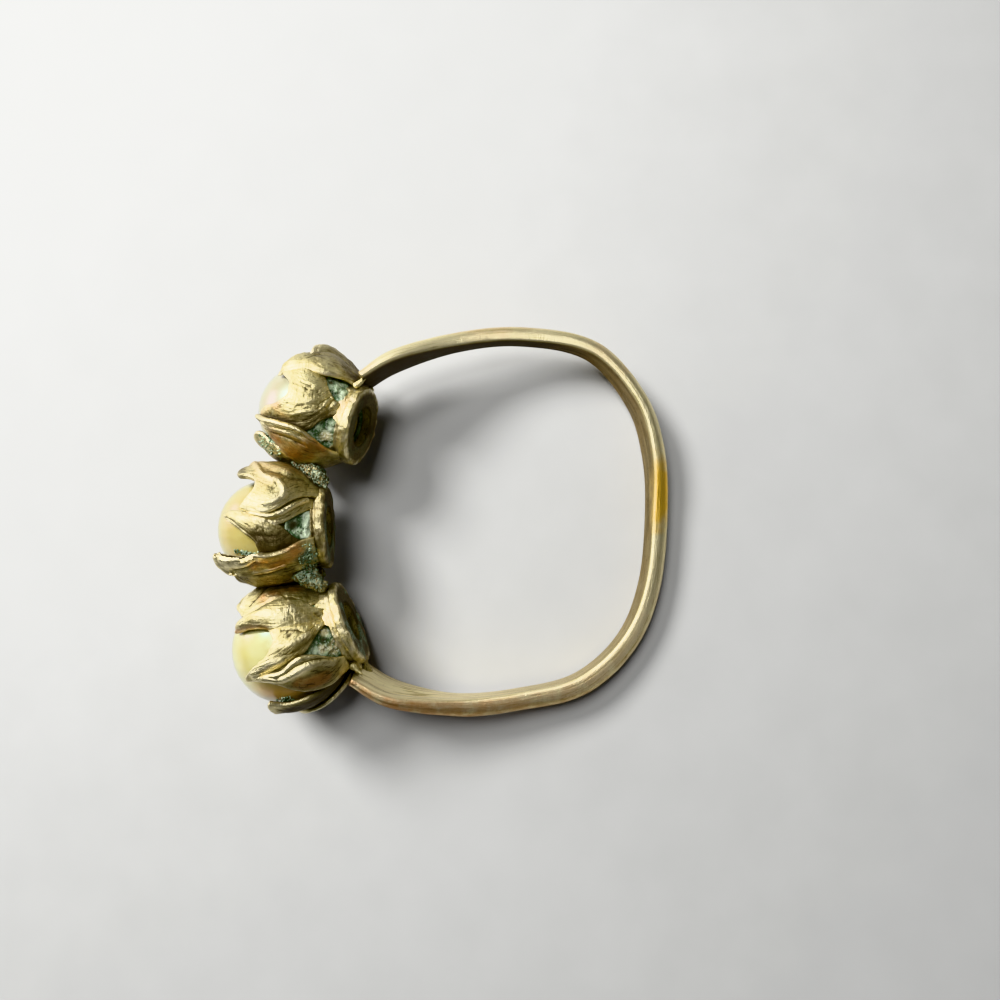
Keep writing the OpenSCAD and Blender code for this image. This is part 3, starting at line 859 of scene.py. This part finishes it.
petal("lower_slant",
      near=[(13, 37), (9, 44), (3, 51), (-4, 60), (-9, 70), (-12, 84), (-13, 97), (-13, 110), (-12, 122)],
      far=[(26, 37), (26, 46), (27, 56), (28, 66), (30, 76), (31, 83), (30, 88)],
      front=[(-12, 122), (-6, 119), (0, 106), (3, 95), (8, 88), (15, 84), (30, 88)],
      lift=(0.25, 0), lip=(0.0, -0.04, -0.02), roll=(0, -0.3, -0.2), belly=0.32, curl=(0.05, -0.1),
      folds=[([(13, 71)], 0.12, -0.06), ([(4, 82)], 0.11, -0.05), ([(15, 63)], 0.07, -0.04),
             ([(2, 84), (-1, 74), (1, 62), (4, 51)], 0.09, -0.04), ([(8, 84), (6, 70), (9, 56)], 0.11, 0.04),
             ([(-2, 84), (-2, 94), (-5, 108)], 0.16, 0.06),
             ([(19, 75), (16, 65), (11, 58), (15, 48)], 0.06, -0.04),
             ([(-8, 70), (-8, 84), (-9, 98)], 0.08, -0.03)],
      stains=[("grime_and_shade", [(4, 84), (0, 74), (2, 62), (6, 50)], 0.34, 0.5)], rows=106, columns=94, seed=33)
# the dark stain over the wave's body is painted shade
petal("lower_wave",
      near=[(-64, 38), (-60, 48), (-56, 58), (-48, 69), (-40, 79), (-31, 87), (-23, 94), (-17, 103),
            (-12, 114)],
      far=[(-36, 38), (-26, 46), (-17, 53), (-10, 60), (-6, 69), (-7, 78), (-10, 86), (-9, 96), (-8, 105),
           (-9, 114)],
      lift=(0.8, 1), lip=(-0.04, 0.05, 0.0), roll=(-0.3, 0.4, 0.3), belly=0.0,
      folds=[([(-27, 47), (-17, 57), (-13, 66), (-12, 75), (-14, 87)], 0.06, -0.09),
             ([(-31, 48), (-21, 58), (-17, 68), (-17, 78), (-17, 90), (-12, 102)], 0.10, 0.09),
             ([(-32, 58), (-25, 70), (-24, 82)], 0.14, -0.05)],
      stains=[("copper", [(-28, 78), (-33, 70), (-38, 60)], 0.32, 1.0),
              ("grime_and_shade", [(-32, 86), (-38, 74), (-40, 60), (-32, 50), (-24, 58)], 0.5, 0.65)],
      rows=106, columns=94, seed=34)
# the dark stain over the flare is painted shade, and the pale front rim is painted highlight
petal("lower_flare",
      near=[(-116, 37), (-114, 54), (-110, 70), (-102, 86), (-92, 98), (-80, 107), (-68, 114)],
      far=[(-66, 38), (-62, 54), (-58, 68), (-53, 80), (-51, 92), (-47, 103), (-38, 111)],
      front=[(-68, 114), (-60, 117), (-51, 117), (-43, 115), (-38, 111)],
      lip=(0.0, 0.02, 0.05), roll=(0, 0, 0.3), curl=(0.04, 0.14),
      stains=[("grime_and_shade", [(-70, 46), (-68, 66), (-66, 80), (-64, 98)], 0.85, 1.0),
              ("wear_and_highlight", [(-64, 115), (-52, 116), (-42, 114)], 0.2, 1.0)], seed=35)
print("lower cup:", [n for n in made if n.startswith("petal_lower")])

# %% [markdown]
# ## Petals that don't show
# The photo hides the far side of each cup. Its petals are plain leaves of the same make,
# drawn from four numbers each: where they stand, how wide they spread to each side, and
# which layer their far and near edges lie on. All of them reach equally far over the pearl.

# %% Hidden petals
LEAF_SPREAD = [(0, 0.45), (0.12, 0.6), (0.28, 0.94), (0.5, 1), (0.76, 0.84), (0.9, 0.55), (1, 0.12)]
HIDDEN = {
    "upper": [(-130, 28, 0, 1), (178, 28, 0, 0), (136, 27, 1, 0)],
    "middle": [(-134, 28, 1, 1), (-178, 27, 0, 0), (132, 31, 1, 1)],
    "lower": [(-110, 26, 1, 1), (-165, 36, 0, 0), (136, 30, 1, 0)],
}
LEAF_BASE, LEAF_TIP = 36, 112
for name, leaves in HIDDEN.items():
    for number, (around, spread, far_lift, near_lift) in enumerate(leaves, 1):
        sides = [[(around + side * spread * wide, LEAF_BASE + (LEAF_TIP - LEAF_BASE) * s)
                  for s, wide in LEAF_SPREAD] for side in (-1, 1)]
        petal(f"{name}_back_{number}", *sides, lift=(near_lift, far_lift), rows=54, columns=46,
              seed=40 + number)
print("hidden petals:", sum("back" in n for n in made))

# %% [markdown]
# ## Collars
# Behind each cup sits a flat ring with an open hole, and the petals are soldered to it. It
# was turned or stamped true, but solder, filing and wear have left its outer wall lumpy. It
# is an outline carried round the cup's axis, with its wall pushed in and out unevenly. No
# finger reaches its back face, so some dirt and green crust have stayed on it, and the back
# face and the hole are darkened further with painted shade. Pale patches on the wall are
# wear and painted highlight.

# %% Collars
COLLAR_STEPS = 200
COLLAR_POINTS = 54
BACK_CRUST = {"upper": 0.15, "middle": 0.5, "lower": 0.8}
WALL_GRIME = {"upper": 0.0, "middle": 0.85, "lower": 0.1}
# where the seat's edge is filed away, each as the middle of the arc and half its spread
BARE_SECTORS = {"upper": [(36, 14), (-28, 22)], "middle": [(10, 26), (-48, 9)], "lower": [(-18, 32)]}


def collar_outline(cup):
    """Closed outline of a collar, distance from the axis and height from its back face."""
    seat = cup["pearl"] + AIR + 0.06
    rim = cup["rim"]

    def dish(r):
        return cup["stem"] - math.sqrt(seat**2 - r**2)

    return [(COLLAR_HOLE + 0.03, 0.01), (rim - 0.5, 0), (rim - 0.12, 0.01), (rim - 0.02, 0.09), (rim, 0.25),
            (rim - 0.02, COLLAR_THICK - 0.07), (rim - 0.1, COLLAR_THICK),
            (rim - 0.05, dish(rim - 0.2) - 0.07), (rim - 0.2, dish(rim - 0.2)),
            (rim - 0.5, dish(rim - 0.5)), (COLLAR_HOLE, dish(COLLAR_HOLE)),
            (COLLAR_HOLE - 0.01, 0.1), (COLLAR_HOLE + 0.03, 0.01)]


def carried_round(outline, steps):
    """Closed mesh of an outline carried round an axis."""
    r, z = outline.T
    angles = np.arange(steps) * 2 * math.pi / steps
    rows = [np.stack([r * math.cos(a), r * math.sin(a), z], -1) for a in angles]
    return np.vstack(rows), skin(steps, len(outline), around=True, closed=True)


for name, cup in CUPS.items():
    outline = through(collar_outline(cup), np.arange(COLLAR_POINTS) / COLLAR_POINTS)
    points, faces = carried_round(outline, COLLAR_STEPS)
    distance = np.hypot(points[:, 0], points[:, 1])
    angle = np.degrees(np.arctan2(points[:, 1], points[:, 0]))
    bare = sum(ease((half + 5 - np.abs(angle - middle)) / 10) for middle, half in BARE_SECTORS[name])
    ahead = np.maximum(points[:, 2] - COLLAR_THICK, 0)
    points[:, 2] -= 0.7 * ahead * bare
    wall = ease((distance - cup["rim"] + 0.35) / 0.25)
    lump = 0.045 * rough(points, 0.42, 3) + 0.02 * bumps(points, 0.12, 4)
    points[:, :2] *= (1 + wall * lump / distance)[:, None]
    points[:, 2] += (1 - wall) * 0.012 * rough(points, 0.5, 5) + wall * 0.05 * bumps(points, 0.3, 9)
    # pale patches on the outer wall: wear and painted highlight
    wear_and_highlight = wall * ease(0.5 + bumps(points, 0.16, 6)) * 0.9
    hole_shade = ease((COLLAR_HOLE + 0.1 - distance) / 0.1)
    back = ease((0.12 - points[:, 2]) / 0.1) * (1 - wall)
    smeared = WALL_GRIME[name] * wall * ease(0.9 + bumps(points, 0.3, 11) * 2)
    dirty = 0.3 * ease(bumps(points, 0.5, 7)) + smeared
    crusted = BACK_CRUST[name] * back * ease(bumps(points, 0.45, 10) * 3)
    # besides dirt, the back face and the hole get painted shade in the grime mark
    marks = {"wear_and_highlight": wear_and_highlight * (1 - 0.6 * WALL_GRIME[name]), "grime_and_shade": dirty + 0.5 * hole_shade + 0.75 * back,
             "copper": 0.3 * ease(bumps(points, 0.8, 8) * 2 - 0.6), "green": crusted,
             "run": np.stack([np.radians(angle) * cup["rim"], distance * 1.6, points[:, 2]], -1)}
    piece("collar_" + name, from_cup(cup, points), faces, BRASS, "gilt_metal", "soldered_mount", marks)
    print("collar_" + name, "has", made["collar_" + name], "triangles")

# %% [markdown]
# ## The band
# The band is a half-round wire: round outside, flat inside. The smith hammered both ends
# wide and thin before soldering them to the outer cups. It is one cross-section carried
# through a short table of bends, with the marks of pliers and a long furrow where the lower
# end was flattened. Most of its gilding is gone, apart from one bright patch at the back.

# %% Bends and section of the band
# x and y of its inner wall on the flat ring, its width and its thickness
BENDS = [
    (7.75, -6.6, 2.6, 0.6), (8.7, -4.8, 2.5, 0.8), (9.15, -1.9, 1.55, 0.92), (8.95, 0.9, 1.25, 0.92),
    (8.3, 3.7, 1.25, 1), (6.45, 5.85, 1.25, 0.95), (3.85, 6.95, 1.4, 0.92), (0.5, 7.3, 1.4, 0.92),
    (-2.2, 7.25, 1.8, 0.85), (-4.7, 6.5, 1.85, 0.8), (-7, 4.4, 1.5, 0.8), (-7.55, 1.1, 1.2, 0.8),
    (-7.2, -1.95, 1.5, 0.78), (-6.3, -4.8, 2.9, 0.72), (-5.35, -6.4, 3.4, 0.5),
]
# its section, in shares of its width and of its thickness
BAND_FORM = [
    (-0.5, 0.3), (-0.47, 0.55), (-0.38, 0.78), (-0.2, 0.95), (0, 1), (0.2, 0.95), (0.38, 0.78), (0.47, 0.55),
    (0.5, 0.3), (0.46, 0.04), (0.2, 0), (-0.2, 0), (-0.46, 0.04), (-0.5, 0.3),
]
BAND_ROWS = 420
BAND_SIDES = 60
BAND_LUMPS = [(0.016, 1.3, 51), (0.007, 0.5, 52), (0.003, 0.15, 53)]
# dents of the pliers: where they are, how wide and how deep
TOOL_MARKS = [(-7.3, 2.6, 0.5, 0.10, 0.05), (-6.0, 5.6, 0.7, 0.12, 0.06), (-7.45, -0.6, 0.55, 0.14, 0.03)]

row = through(BENDS, np.linspace(0, 1, BAND_ROWS))
form = through(BAND_FORM, np.arange(BAND_SIDES) / BAND_SIDES)
band_length = float(np.sum(np.linalg.norm(np.diff(row[:, :2], axis=0), axis=1)))
print("the band is", round(band_length, 1), "mm long")

# %% Shape of the band
FURROW_DEEP = 0.26
ahead = np.gradient(row[:, :2], axis=0)
ahead /= np.linalg.norm(ahead, axis=1)[:, None]
along = np.linspace(0, 1, BAND_ROWS)[:, None]
flat = (1 - ease(form[:, 1] / 0.2))[None]
furrow = np.exp(-((form[None, :, 0] - 0.08) / 0.17) ** 2) * flat * ease(1 - along / 0.16)
twist = 0.5 * form[None, :, 0] * ease(1 - along / 0.13)
thick = form[None, :, 1] * row[:, 3, None] + FURROW_DEEP * furrow + twist
points = np.stack([
    row[:, None, 0] + ahead[:, None, 1] * thick,
    row[:, None, 1] - ahead[:, None, 0] * thick,
    form[None, :, 0] * row[:, 2, None],
], -1).reshape(-1, 3)
core = np.repeat(row[:, :2], BAND_SIDES, axis=0)
outward = np.c_[points[:, :2] - core, points[:, 2] * 0.5]
outward /= np.linalg.norm(outward, axis=1)[:, None]
lump = layered(points, BAND_LUMPS)
dent = np.zeros(len(points))
for x, y, z, wide, deep in TOOL_MARKS:
    dent += deep * np.exp(-np.sum((points - [x, y, z]) ** 2, 1) / wide**2)
points += outward * (lump - dent)[:, None]
print("pliers left", len(TOOL_MARKS), "dents in the band")

# %% Wear, painted shade and painted highlight of the band
PLATE_AT = np.array([-0.35, 7.65, 0.75])
PLATE_REACH = [1.6, 0.7, 0.6]
BAND_RUN = 46
BAND_USUAL = [1.4, 0.9]
inner = np.broadcast_to(flat, (BAND_ROWS, BAND_SIDES)).ravel()
to_plate = np.linalg.norm((points - PLATE_AT) / PLATE_REACH, axis=1)
across = np.r_[0, np.cumsum(np.linalg.norm(np.diff(form * BAND_USUAL, axis=0), axis=1))]
run = np.stack(np.broadcast_arrays(along * BAND_RUN, across[None], 0.0), -1).reshape(-1, 3)
streaks = bumps(run / [1.6, 0.14, 1], 1, 54)
# a bright line along both edges of the band: wear and painted highlight
corner = np.exp(-((np.abs(form[:, 0]) - 0.49) / 0.05) ** 2)[None] * np.ones((BAND_ROWS, 1))
start = ease(1.1 - along / 0.45).ravel().repeat(BAND_SIDES)
shaded = ease((along - 0.7) / 0.1).ravel().repeat(BAND_SIDES)
rubbed_and_lit = 0.45 + 0.5 * ease(0.5 + streaks)
groove_shade = (np.exp(-((form[None, :, 0] - 0.3) / 0.04) ** 2) * flat * ease(1.2 - along / 0.3)).ravel()
plated = ease(1.5 - to_plate + 0.3 * bumps(points, 0.3, 56)) * (1 - 0.5 * inner)
# the inner face is darkened, most toward its end at the upper cup, and so is the furrow's groove: painted
# shade. The outside is rubbed pale, and the lower end's outside and the pliers' dents are darker.
marks = {
    "wear_and_highlight": corner.ravel() + rubbed_and_lit * (1 - inner) * (1 - 0.6 * start) + start * inner + 0.5 * plated,
    "grime_and_shade": inner * ((0.4 + 0.25 * ease(0.5 + streaks)) * (1 - start) + 0.8 * shaded)
             + (1 - inner) * start * 0.55 * ease(0.3 + streaks) + np.clip(dent / 0.05, 0, 1) * 0.3
             + 0.7 * groove_shade,
    "copper": (0.35 * ease(bumps(points, 1.6, 55) * 2 - 0.3) + 0.9 * start) * (1 - inner),
    "run": run,
    "gold": plated,
}
print("gold is left on", round(100 * float(np.mean(plated > 0.5)), 1), "% of the band's points")

# %% Band with its ends closed
faces = [f[::-1] for f in skin(BAND_ROWS, BAND_SIDES, around=True)]
band = piece("band", points, faces, RUBBED_BRASS, "gilt_metal", "soldered_mount", marks, weld=False)
ends = bmesh.new()
ends.from_mesh(band.data)
bmesh.ops.holes_fill(ends, edges=[e for e in ends.edges if e.is_boundary], sides=0)
bmesh.ops.recalc_face_normals(ends, faces=ends.faces)
ends.to_mesh(band.data)
ends.free()
made["band"] += 2 * (BAND_SIDES - 2)
print("the band has", made["band"], "triangles")

# %% [markdown]
# ## Solder
# Hard solder was fed in as small scraps and froze in lumps where it ran. Blobs along each
# joint are melted into one body by remeshing, the way the real ones flowed together. The
# skin is then roughened, most in the two joints between the cups, where it is also dirty.

# %% Runs of solder
# the two ends of each run on the flat ring, and its radius at each
SOLDER = [
    ((-1.25, -8.75, 0.1), (-1.25, -8.7, -0.8), 0.5, 0.5), ((-1.8, -9.4, 0.2), (-1.25, -8.8, 0.4), 0.3, 0.44),
    ((-1.25, -8.8, 0.4), (-0.8, -8.2, 0.7), 0.44, 0.34), ((-0.8, -8.2, 0.7), (-0.5, -8.0, 0.95), 0.34, 0.2),
    ((3.25, -9.2, 0.2), (3.5, -8.7, -0.7), 0.6, 0.6), ((2.75, -9.45, 0.95), (3.25, -9.0, 0.9), 0.42, 0.55),
    ((3.25, -9.0, 0.9), (3.85, -8.3, 0.9), 0.55, 0.4),
    ((-5.5, -6.3, 1.0), (-5.15, -6.7, 0.95), 0.1, 0.18),
    ((-5.35, -6.2, -0.9), (-5.05, -6.6, -0.9), 0.22, 0.36),
    ((7.85, -6.35, 1.1), (7.5, -6.75, 1.0), 0.12, 0.22), ((7.8, -6.5, 0.0), (7.4, -6.8, 0.1), 0.2, 0.3),
    ((8.05, -6.2, -0.6), (7.45, -6.7, -0.7), 0.3, 0.42),
]
BLOBS = 7
VOXEL = 0.05
SMOOTHINGS = 6
blobs = bmesh.new()
for start, end, first_r, last_r in SOLDER:
    for k in range(BLOBS):
        t = k / (BLOBS - 1)
        spot = Vector(start).lerp(Vector(end), t)
        new = bmesh.ops.create_icosphere(blobs, subdivisions=3, radius=first_r + (last_r - first_r) * t)
        bmesh.ops.translate(blobs, verts=new["verts"], vec=spot)
melt_mesh = bpy.data.meshes.new("melt")
blobs.to_mesh(melt_mesh)
blobs.free()
melt = bpy.data.objects.new("melt", melt_mesh)
bpy.context.scene.collection.objects.link(melt)
fuse = melt.modifiers.new("fuse", "REMESH")
fuse.mode = "VOXEL"
fuse.voxel_size = VOXEL
smooth = melt.modifiers.new("smooth", "SMOOTH")
smooth.iterations = SMOOTHINGS
fused = bpy.data.meshes.new_from_object(melt.evaluated_get(bpy.context.evaluated_depsgraph_get()))
points = np.array([v.co for v in fused.vertices])
normals = np.array([v.normal for v in fused.vertices])
faces = [list(p.vertices) for p in fused.polygons]
bpy.data.objects.remove(melt)
print("the runs have melted into", len(points), "points")

# %% Skin of the solder
JOINTS_FROM = -7.2
crag = 0.10 * rough(points, 0.5, 61) + 0.08 * np.abs(bumps(points, 0.22, 62)) + 0.03 * bumps(points, 0.09, 63)
joint = ease((JOINTS_FROM - points[:, 1]) / 0.4)
crag *= 0.6 + 1.1 * joint
points += normals * (crag - 0.05 - 0.06 * joint)[:, None]
marks = {"wear_and_highlight": 0.8 * ease(crag / 0.08) * (1 - joint), "grime_and_shade": 0.7 * joint + 0.5 * ease(0.5 - crag / 0.1),
         "green": 0.8 * ease(bumps(points, 0.35, 65) * 2.2 + 0.3) * joint}
piece("solder", points, faces, BRASS, "gilt_metal", "soldered_mount", marks, weld=False)
solder_points, solder_normals = points, normals
print("solder has", made["solder"], "triangles")

# %% [markdown]
# ## Verdigris in the hollows
# The crust fills the dark gaps between the petals and grows on the solder as small grains.
# In each cup it is a lumpy belt behind the petals, closed like a thin ring, and grains are
# strewn where the photo shows them. The gravel on the joints is part crust and part solder.

# %% Verdigris belts
BELT_STEPS = 280
BELT_POINTS = 32
BELT_TILT = (22, 64)
# patches of a belt: where they are on the globe, and their width in millimetres
PATCHES = {
    "upper": {"green": [(36, 42, 0.26), (50, 50, 0.14), (-22, 42, 0.16)], "gold": [(-34, 46, 0.3)],
              "grime_and_shade": [(52, 60, 0.22), (40, 58, 0.16)]},
    "middle": {"green": [(20, 41, 0.3), (5, 40, 0.34), (-10, 42, 0.34)],
               "grime_and_shade": [(3, 56, 0.3), (20, 54, 0.2)]},
    "lower": {"green": [(-16, 26, 0.2), (-12, 54, 0.2), (14, 44, 0.14)],
              "gold": [(5, 40, 0.22), (-22, 38, 0.34), (-14, 48, 0.24), (-15, 33, 0.2)],
              "grime_and_shade": [(-5, 43, 0.17)]},
}


def crust_height(cup, around, tilt):
    """Height of the crust above the pearl, in millimetres, at places on the globe."""
    at = globe(cup, around, tilt, cup["pearl"])
    lumps = 0.12 * np.clip(0.45 + rough(at, 0.45, 71), 0, 1) + 0.07 * np.abs(bumps(at, 0.2, 72))
    return 0.11 + lumps + 0.035 * bumps(at, 0.1, 73) + 0.13 * ease((50 - tilt) / 12)


for name, cup in CUPS.items():
    tilt, around = np.meshgrid(np.linspace(*BELT_TILT, BELT_POINTS), np.arange(BELT_STEPS) * 360 / BELT_STEPS)
    outer = globe(cup, around, tilt, cup["pearl"] + crust_height(cup, around, tilt))
    inner = globe(cup, around, tilt, cup["pearl"] + 0.02)[:, ::-1]
    points = np.concatenate([inner, outer], axis=1).reshape(-1, 3)
    faces = skin(BELT_STEPS, 2 * BELT_POINTS, around=True, closed=True)
    marks = {}
    for kind, spots in PATCHES[name].items():
        share = 0
        for a, t, wide in spots:
            share = share + ease(1.3 - line_distance(cup, around, tilt, [(a, t)]) / wide)
        marks[kind] = np.hstack([share[:, ::-1], share]).ravel()
    piece("verdigris_belt_" + name, from_cup(cup, points), faces, VERDIGRIS, None, "soldered_mount", marks)
print("three belts of verdigris reach from", BELT_TILT[0], "to", BELT_TILT[1], "degrees")

# %% Verdigris grains
# heaps: where on the globe, their spread both ways, their height over the pearl, how many
# grains there are and how big
GRAINS = {
    "upper": [(30, 48, 9, 7, 0.2, 50, 0.06), (-28, 48, 10, 7, 0.2, 60, 0.045),
              (-42, 44, 10, 5, 0.24, 30, 0.045),
              (-48, 102, 9, 12, 0.07, 240, 0.06), (-58, 108, 12, 16, 0.36, 300, 0.05),
              (-22, 57, 5, 5, 0.1, 30, 0.04)],
    "middle": [(8, 48, 14, 7, 0.2, 50, 0.055), (-8, 44, 12, 5, 0.22, 40, 0.05),
               (-50, 46, 14, 5, 0.22, 50, 0.06),
               (-27, 106, 3, 14, 0.05, 110, 0.045), (-38, 47, 18, 10, 0.66, 260, 0.045)],
    "lower": [(-10, 36, 16, 7, 0.28, 50, 0.055), (-30, 34, 14, 5, 0.28, 50, 0.06),
              (4, 46, 8, 5, 0.24, 30, 0.045),
              (-54, 104, 8, 8, 0.06, 90, 0.05)],
}
STRAY, HEAPED = 1.6, 0.6
HEIGHT_RANGE, SIZE_RANGE, STRETCH_RANGE = (0.5, 1.1), (0.35, 1.1), (0.5, 1.4)
chance = np.random.default_rng(7)


def grains(name, spots, finish=VERDIGRIS, slot=None, marks=None):
    """Many small rough grains as one piece. spots are places on the flat ring with sizes."""
    ball = bmesh.new()
    bmesh.ops.create_icosphere(ball, subdivisions=1, radius=1)
    shape = np.array([v.co for v in ball.verts])
    triangles = np.array([[v.index for v in f.verts] for f in ball.faces])
    ball.free()
    points, faces = [], []
    for k, (spot, size) in enumerate(spots):
        stretch = chance.uniform(*STRETCH_RANGE, 3)
        dented = shape * (1 + 0.55 * bumps(shape + 7 * k, 0.7, 81))[:, None] * stretch
        points.append(spot + dented * size)
        faces += (triangles + k * len(shape)).tolist()
    piece(name, np.vstack(points), faces, finish, slot, "soldered_mount", marks, weld=False)
    print(name, "has", len(spots), "grains")


for name, heaps in GRAINS.items():
    spots = []
    for around, tilt, around_spread, tilt_spread, height, count, size in heaps:
        for _ in range(count):
            a = around + around_spread * np.clip(chance.normal(), -STRAY, STRAY) * HEAPED
            t = tilt + tilt_spread * np.clip(chance.normal(), -STRAY, STRAY) * HEAPED
            place = globe(CUPS[name], a, t, CUPS[name]["pearl"] + height * chance.uniform(*HEIGHT_RANGE))
            spots.append((from_cup(CUPS[name], place), size * chance.uniform(*SIZE_RANGE)))
    grains("verdigris_grains_" + name, spots)

# %% Gravel on the joints
# heaps on the solder: their middle, how far they reach, how many grains, and their finish
GRAVEL = 0.04
SOLDER_GRIT = {"green": 0.5, "grime_and_shade": 0.85}
JOINT_HEAPS = [
    ("verdigris_joint_upper", (-1.35, -8.95, 0.6), 0.9, 760, VERDIGRIS, None, {"green": 0.35, "grime_and_shade": 0.5}),
    ("solder_grit_upper", (-0.6, -8.1, 1.0), 0.6, 300, BRASS, "gilt_metal", SOLDER_GRIT),
    ("verdigris_joint_lower", (3.15, -9.1, 1.2), 0.85, 460, VERDIGRIS, None, {"green": 0.3}),
    ("solder_grit_lower", (3.6, -8.5, 1.1), 0.7, 260, BRASS, "gilt_metal", SOLDER_GRIT),
]
for name, middle, spread, count, finish, slot, marks in JOINT_HEAPS:
    close = np.linalg.norm(solder_points - middle, axis=1) < spread
    near = np.where(close & (solder_normals[:, 2] > -0.2))[0]
    spots = [(solder_points[at], GRAVEL * chance.uniform(*SIZE_RANGE)) for at in chance.choice(near, count)]
    grains(name, spots, finish, slot, marks)

# %% [markdown]
# ## Floor and light
# The floor is plain and pale. The photo's light is one window on the side of the cups, so the
# main lamp stands there. A low lamp beside it lights the fronts of the cups, a weak one opens
# the shadows on the other side, and one from above keeps the flat tops pale. Lamps are large
# and near, as a soft box is at a product table, because small ones make hard dots on metal.

# %% Floor
FLOOR_HALF = 0.6
floor_mesh = bpy.data.meshes.new("floor")
corners = [(-1, -1), (1, -1), (1, 1), (-1, 1)]
floor_mesh.from_pydata([(x * FLOOR_HALF, y * FLOOR_HALF, 0) for x, y in corners], [], [(0, 1, 2, 3)])
floor = bpy.data.objects.new("floor", floor_mesh)
bpy.context.scene.collection.objects.link(floor)
paper, tree = new_finish("pale_paper")
fibres = add(tree, "TexNoise", Vector=add(tree, "TexCoord", out="Object"), Scale=per(3.0), Detail=3)
tone = add(tree, "Mix", BLEND, Factor=fibres, A=colour("#a8a8a6"), B=colour("#b0b0ae"))
add(tree, "OutputMaterial", Surface=add(tree, "BsdfPrincipled", Base_Color=tone, Roughness=0.85))
floor_mesh.materials.append(paper)
print("floor is", 2 * FLOOR_HALF, "m wide")

# %% Lights
# place and width in millimetres, watts and tint
LAMPS = [
    ("window", (-64, -72, 84), 44, 0.27, "#ffffff"),
    ("side", (-42, -118, 22), 56, 0.07, "#ffffff"),
    ("fill", (70, 80, 70), 90, 0.01, "#f2f4ff"),
    ("above", (-40, -25, 125), 60, 0.13, "#ffffff"),
]
for name, place, side, watts, tint in LAMPS:
    data = bpy.data.lights.new(name, "AREA")
    data.shape = "DISK"
    data.size = side * MM
    data.energy = watts
    data.color = colour(tint)[:3]
    lamp = bpy.data.objects.new(name, data)
    lamp.location = Vector(place) * MM
    lamp.rotation_mode = "QUATERNION"
    lamp.rotation_quaternion = (-lamp.location).to_track_quat("-Z", "Y")
    bpy.context.scene.collection.objects.link(lamp)
SKY_TINT, SKY_STRENGTH = "#b9bcc0", 0.09
world = bpy.data.worlds.new("studio")
world.use_nodes = True
bpy.context.scene.world = world
sky = world.node_tree.nodes["Background"]
sky.inputs["Color"].default_value = colour(SKY_TINT)
sky.inputs["Strength"].default_value = SKY_STRENGTH
view = bpy.context.scene.view_settings
view.view_transform = "Khronos PBR Neutral"
view.exposure = 0.0
print("lamps:", [lamp[0] for lamp in LAMPS])

# %% [markdown]
# ## Count and finish
# The script ends by printing how many pieces it added and how many triangles they hold.

# %% Counts and the end
print(len(made), "pieces,", sum(made.values()), "triangles")
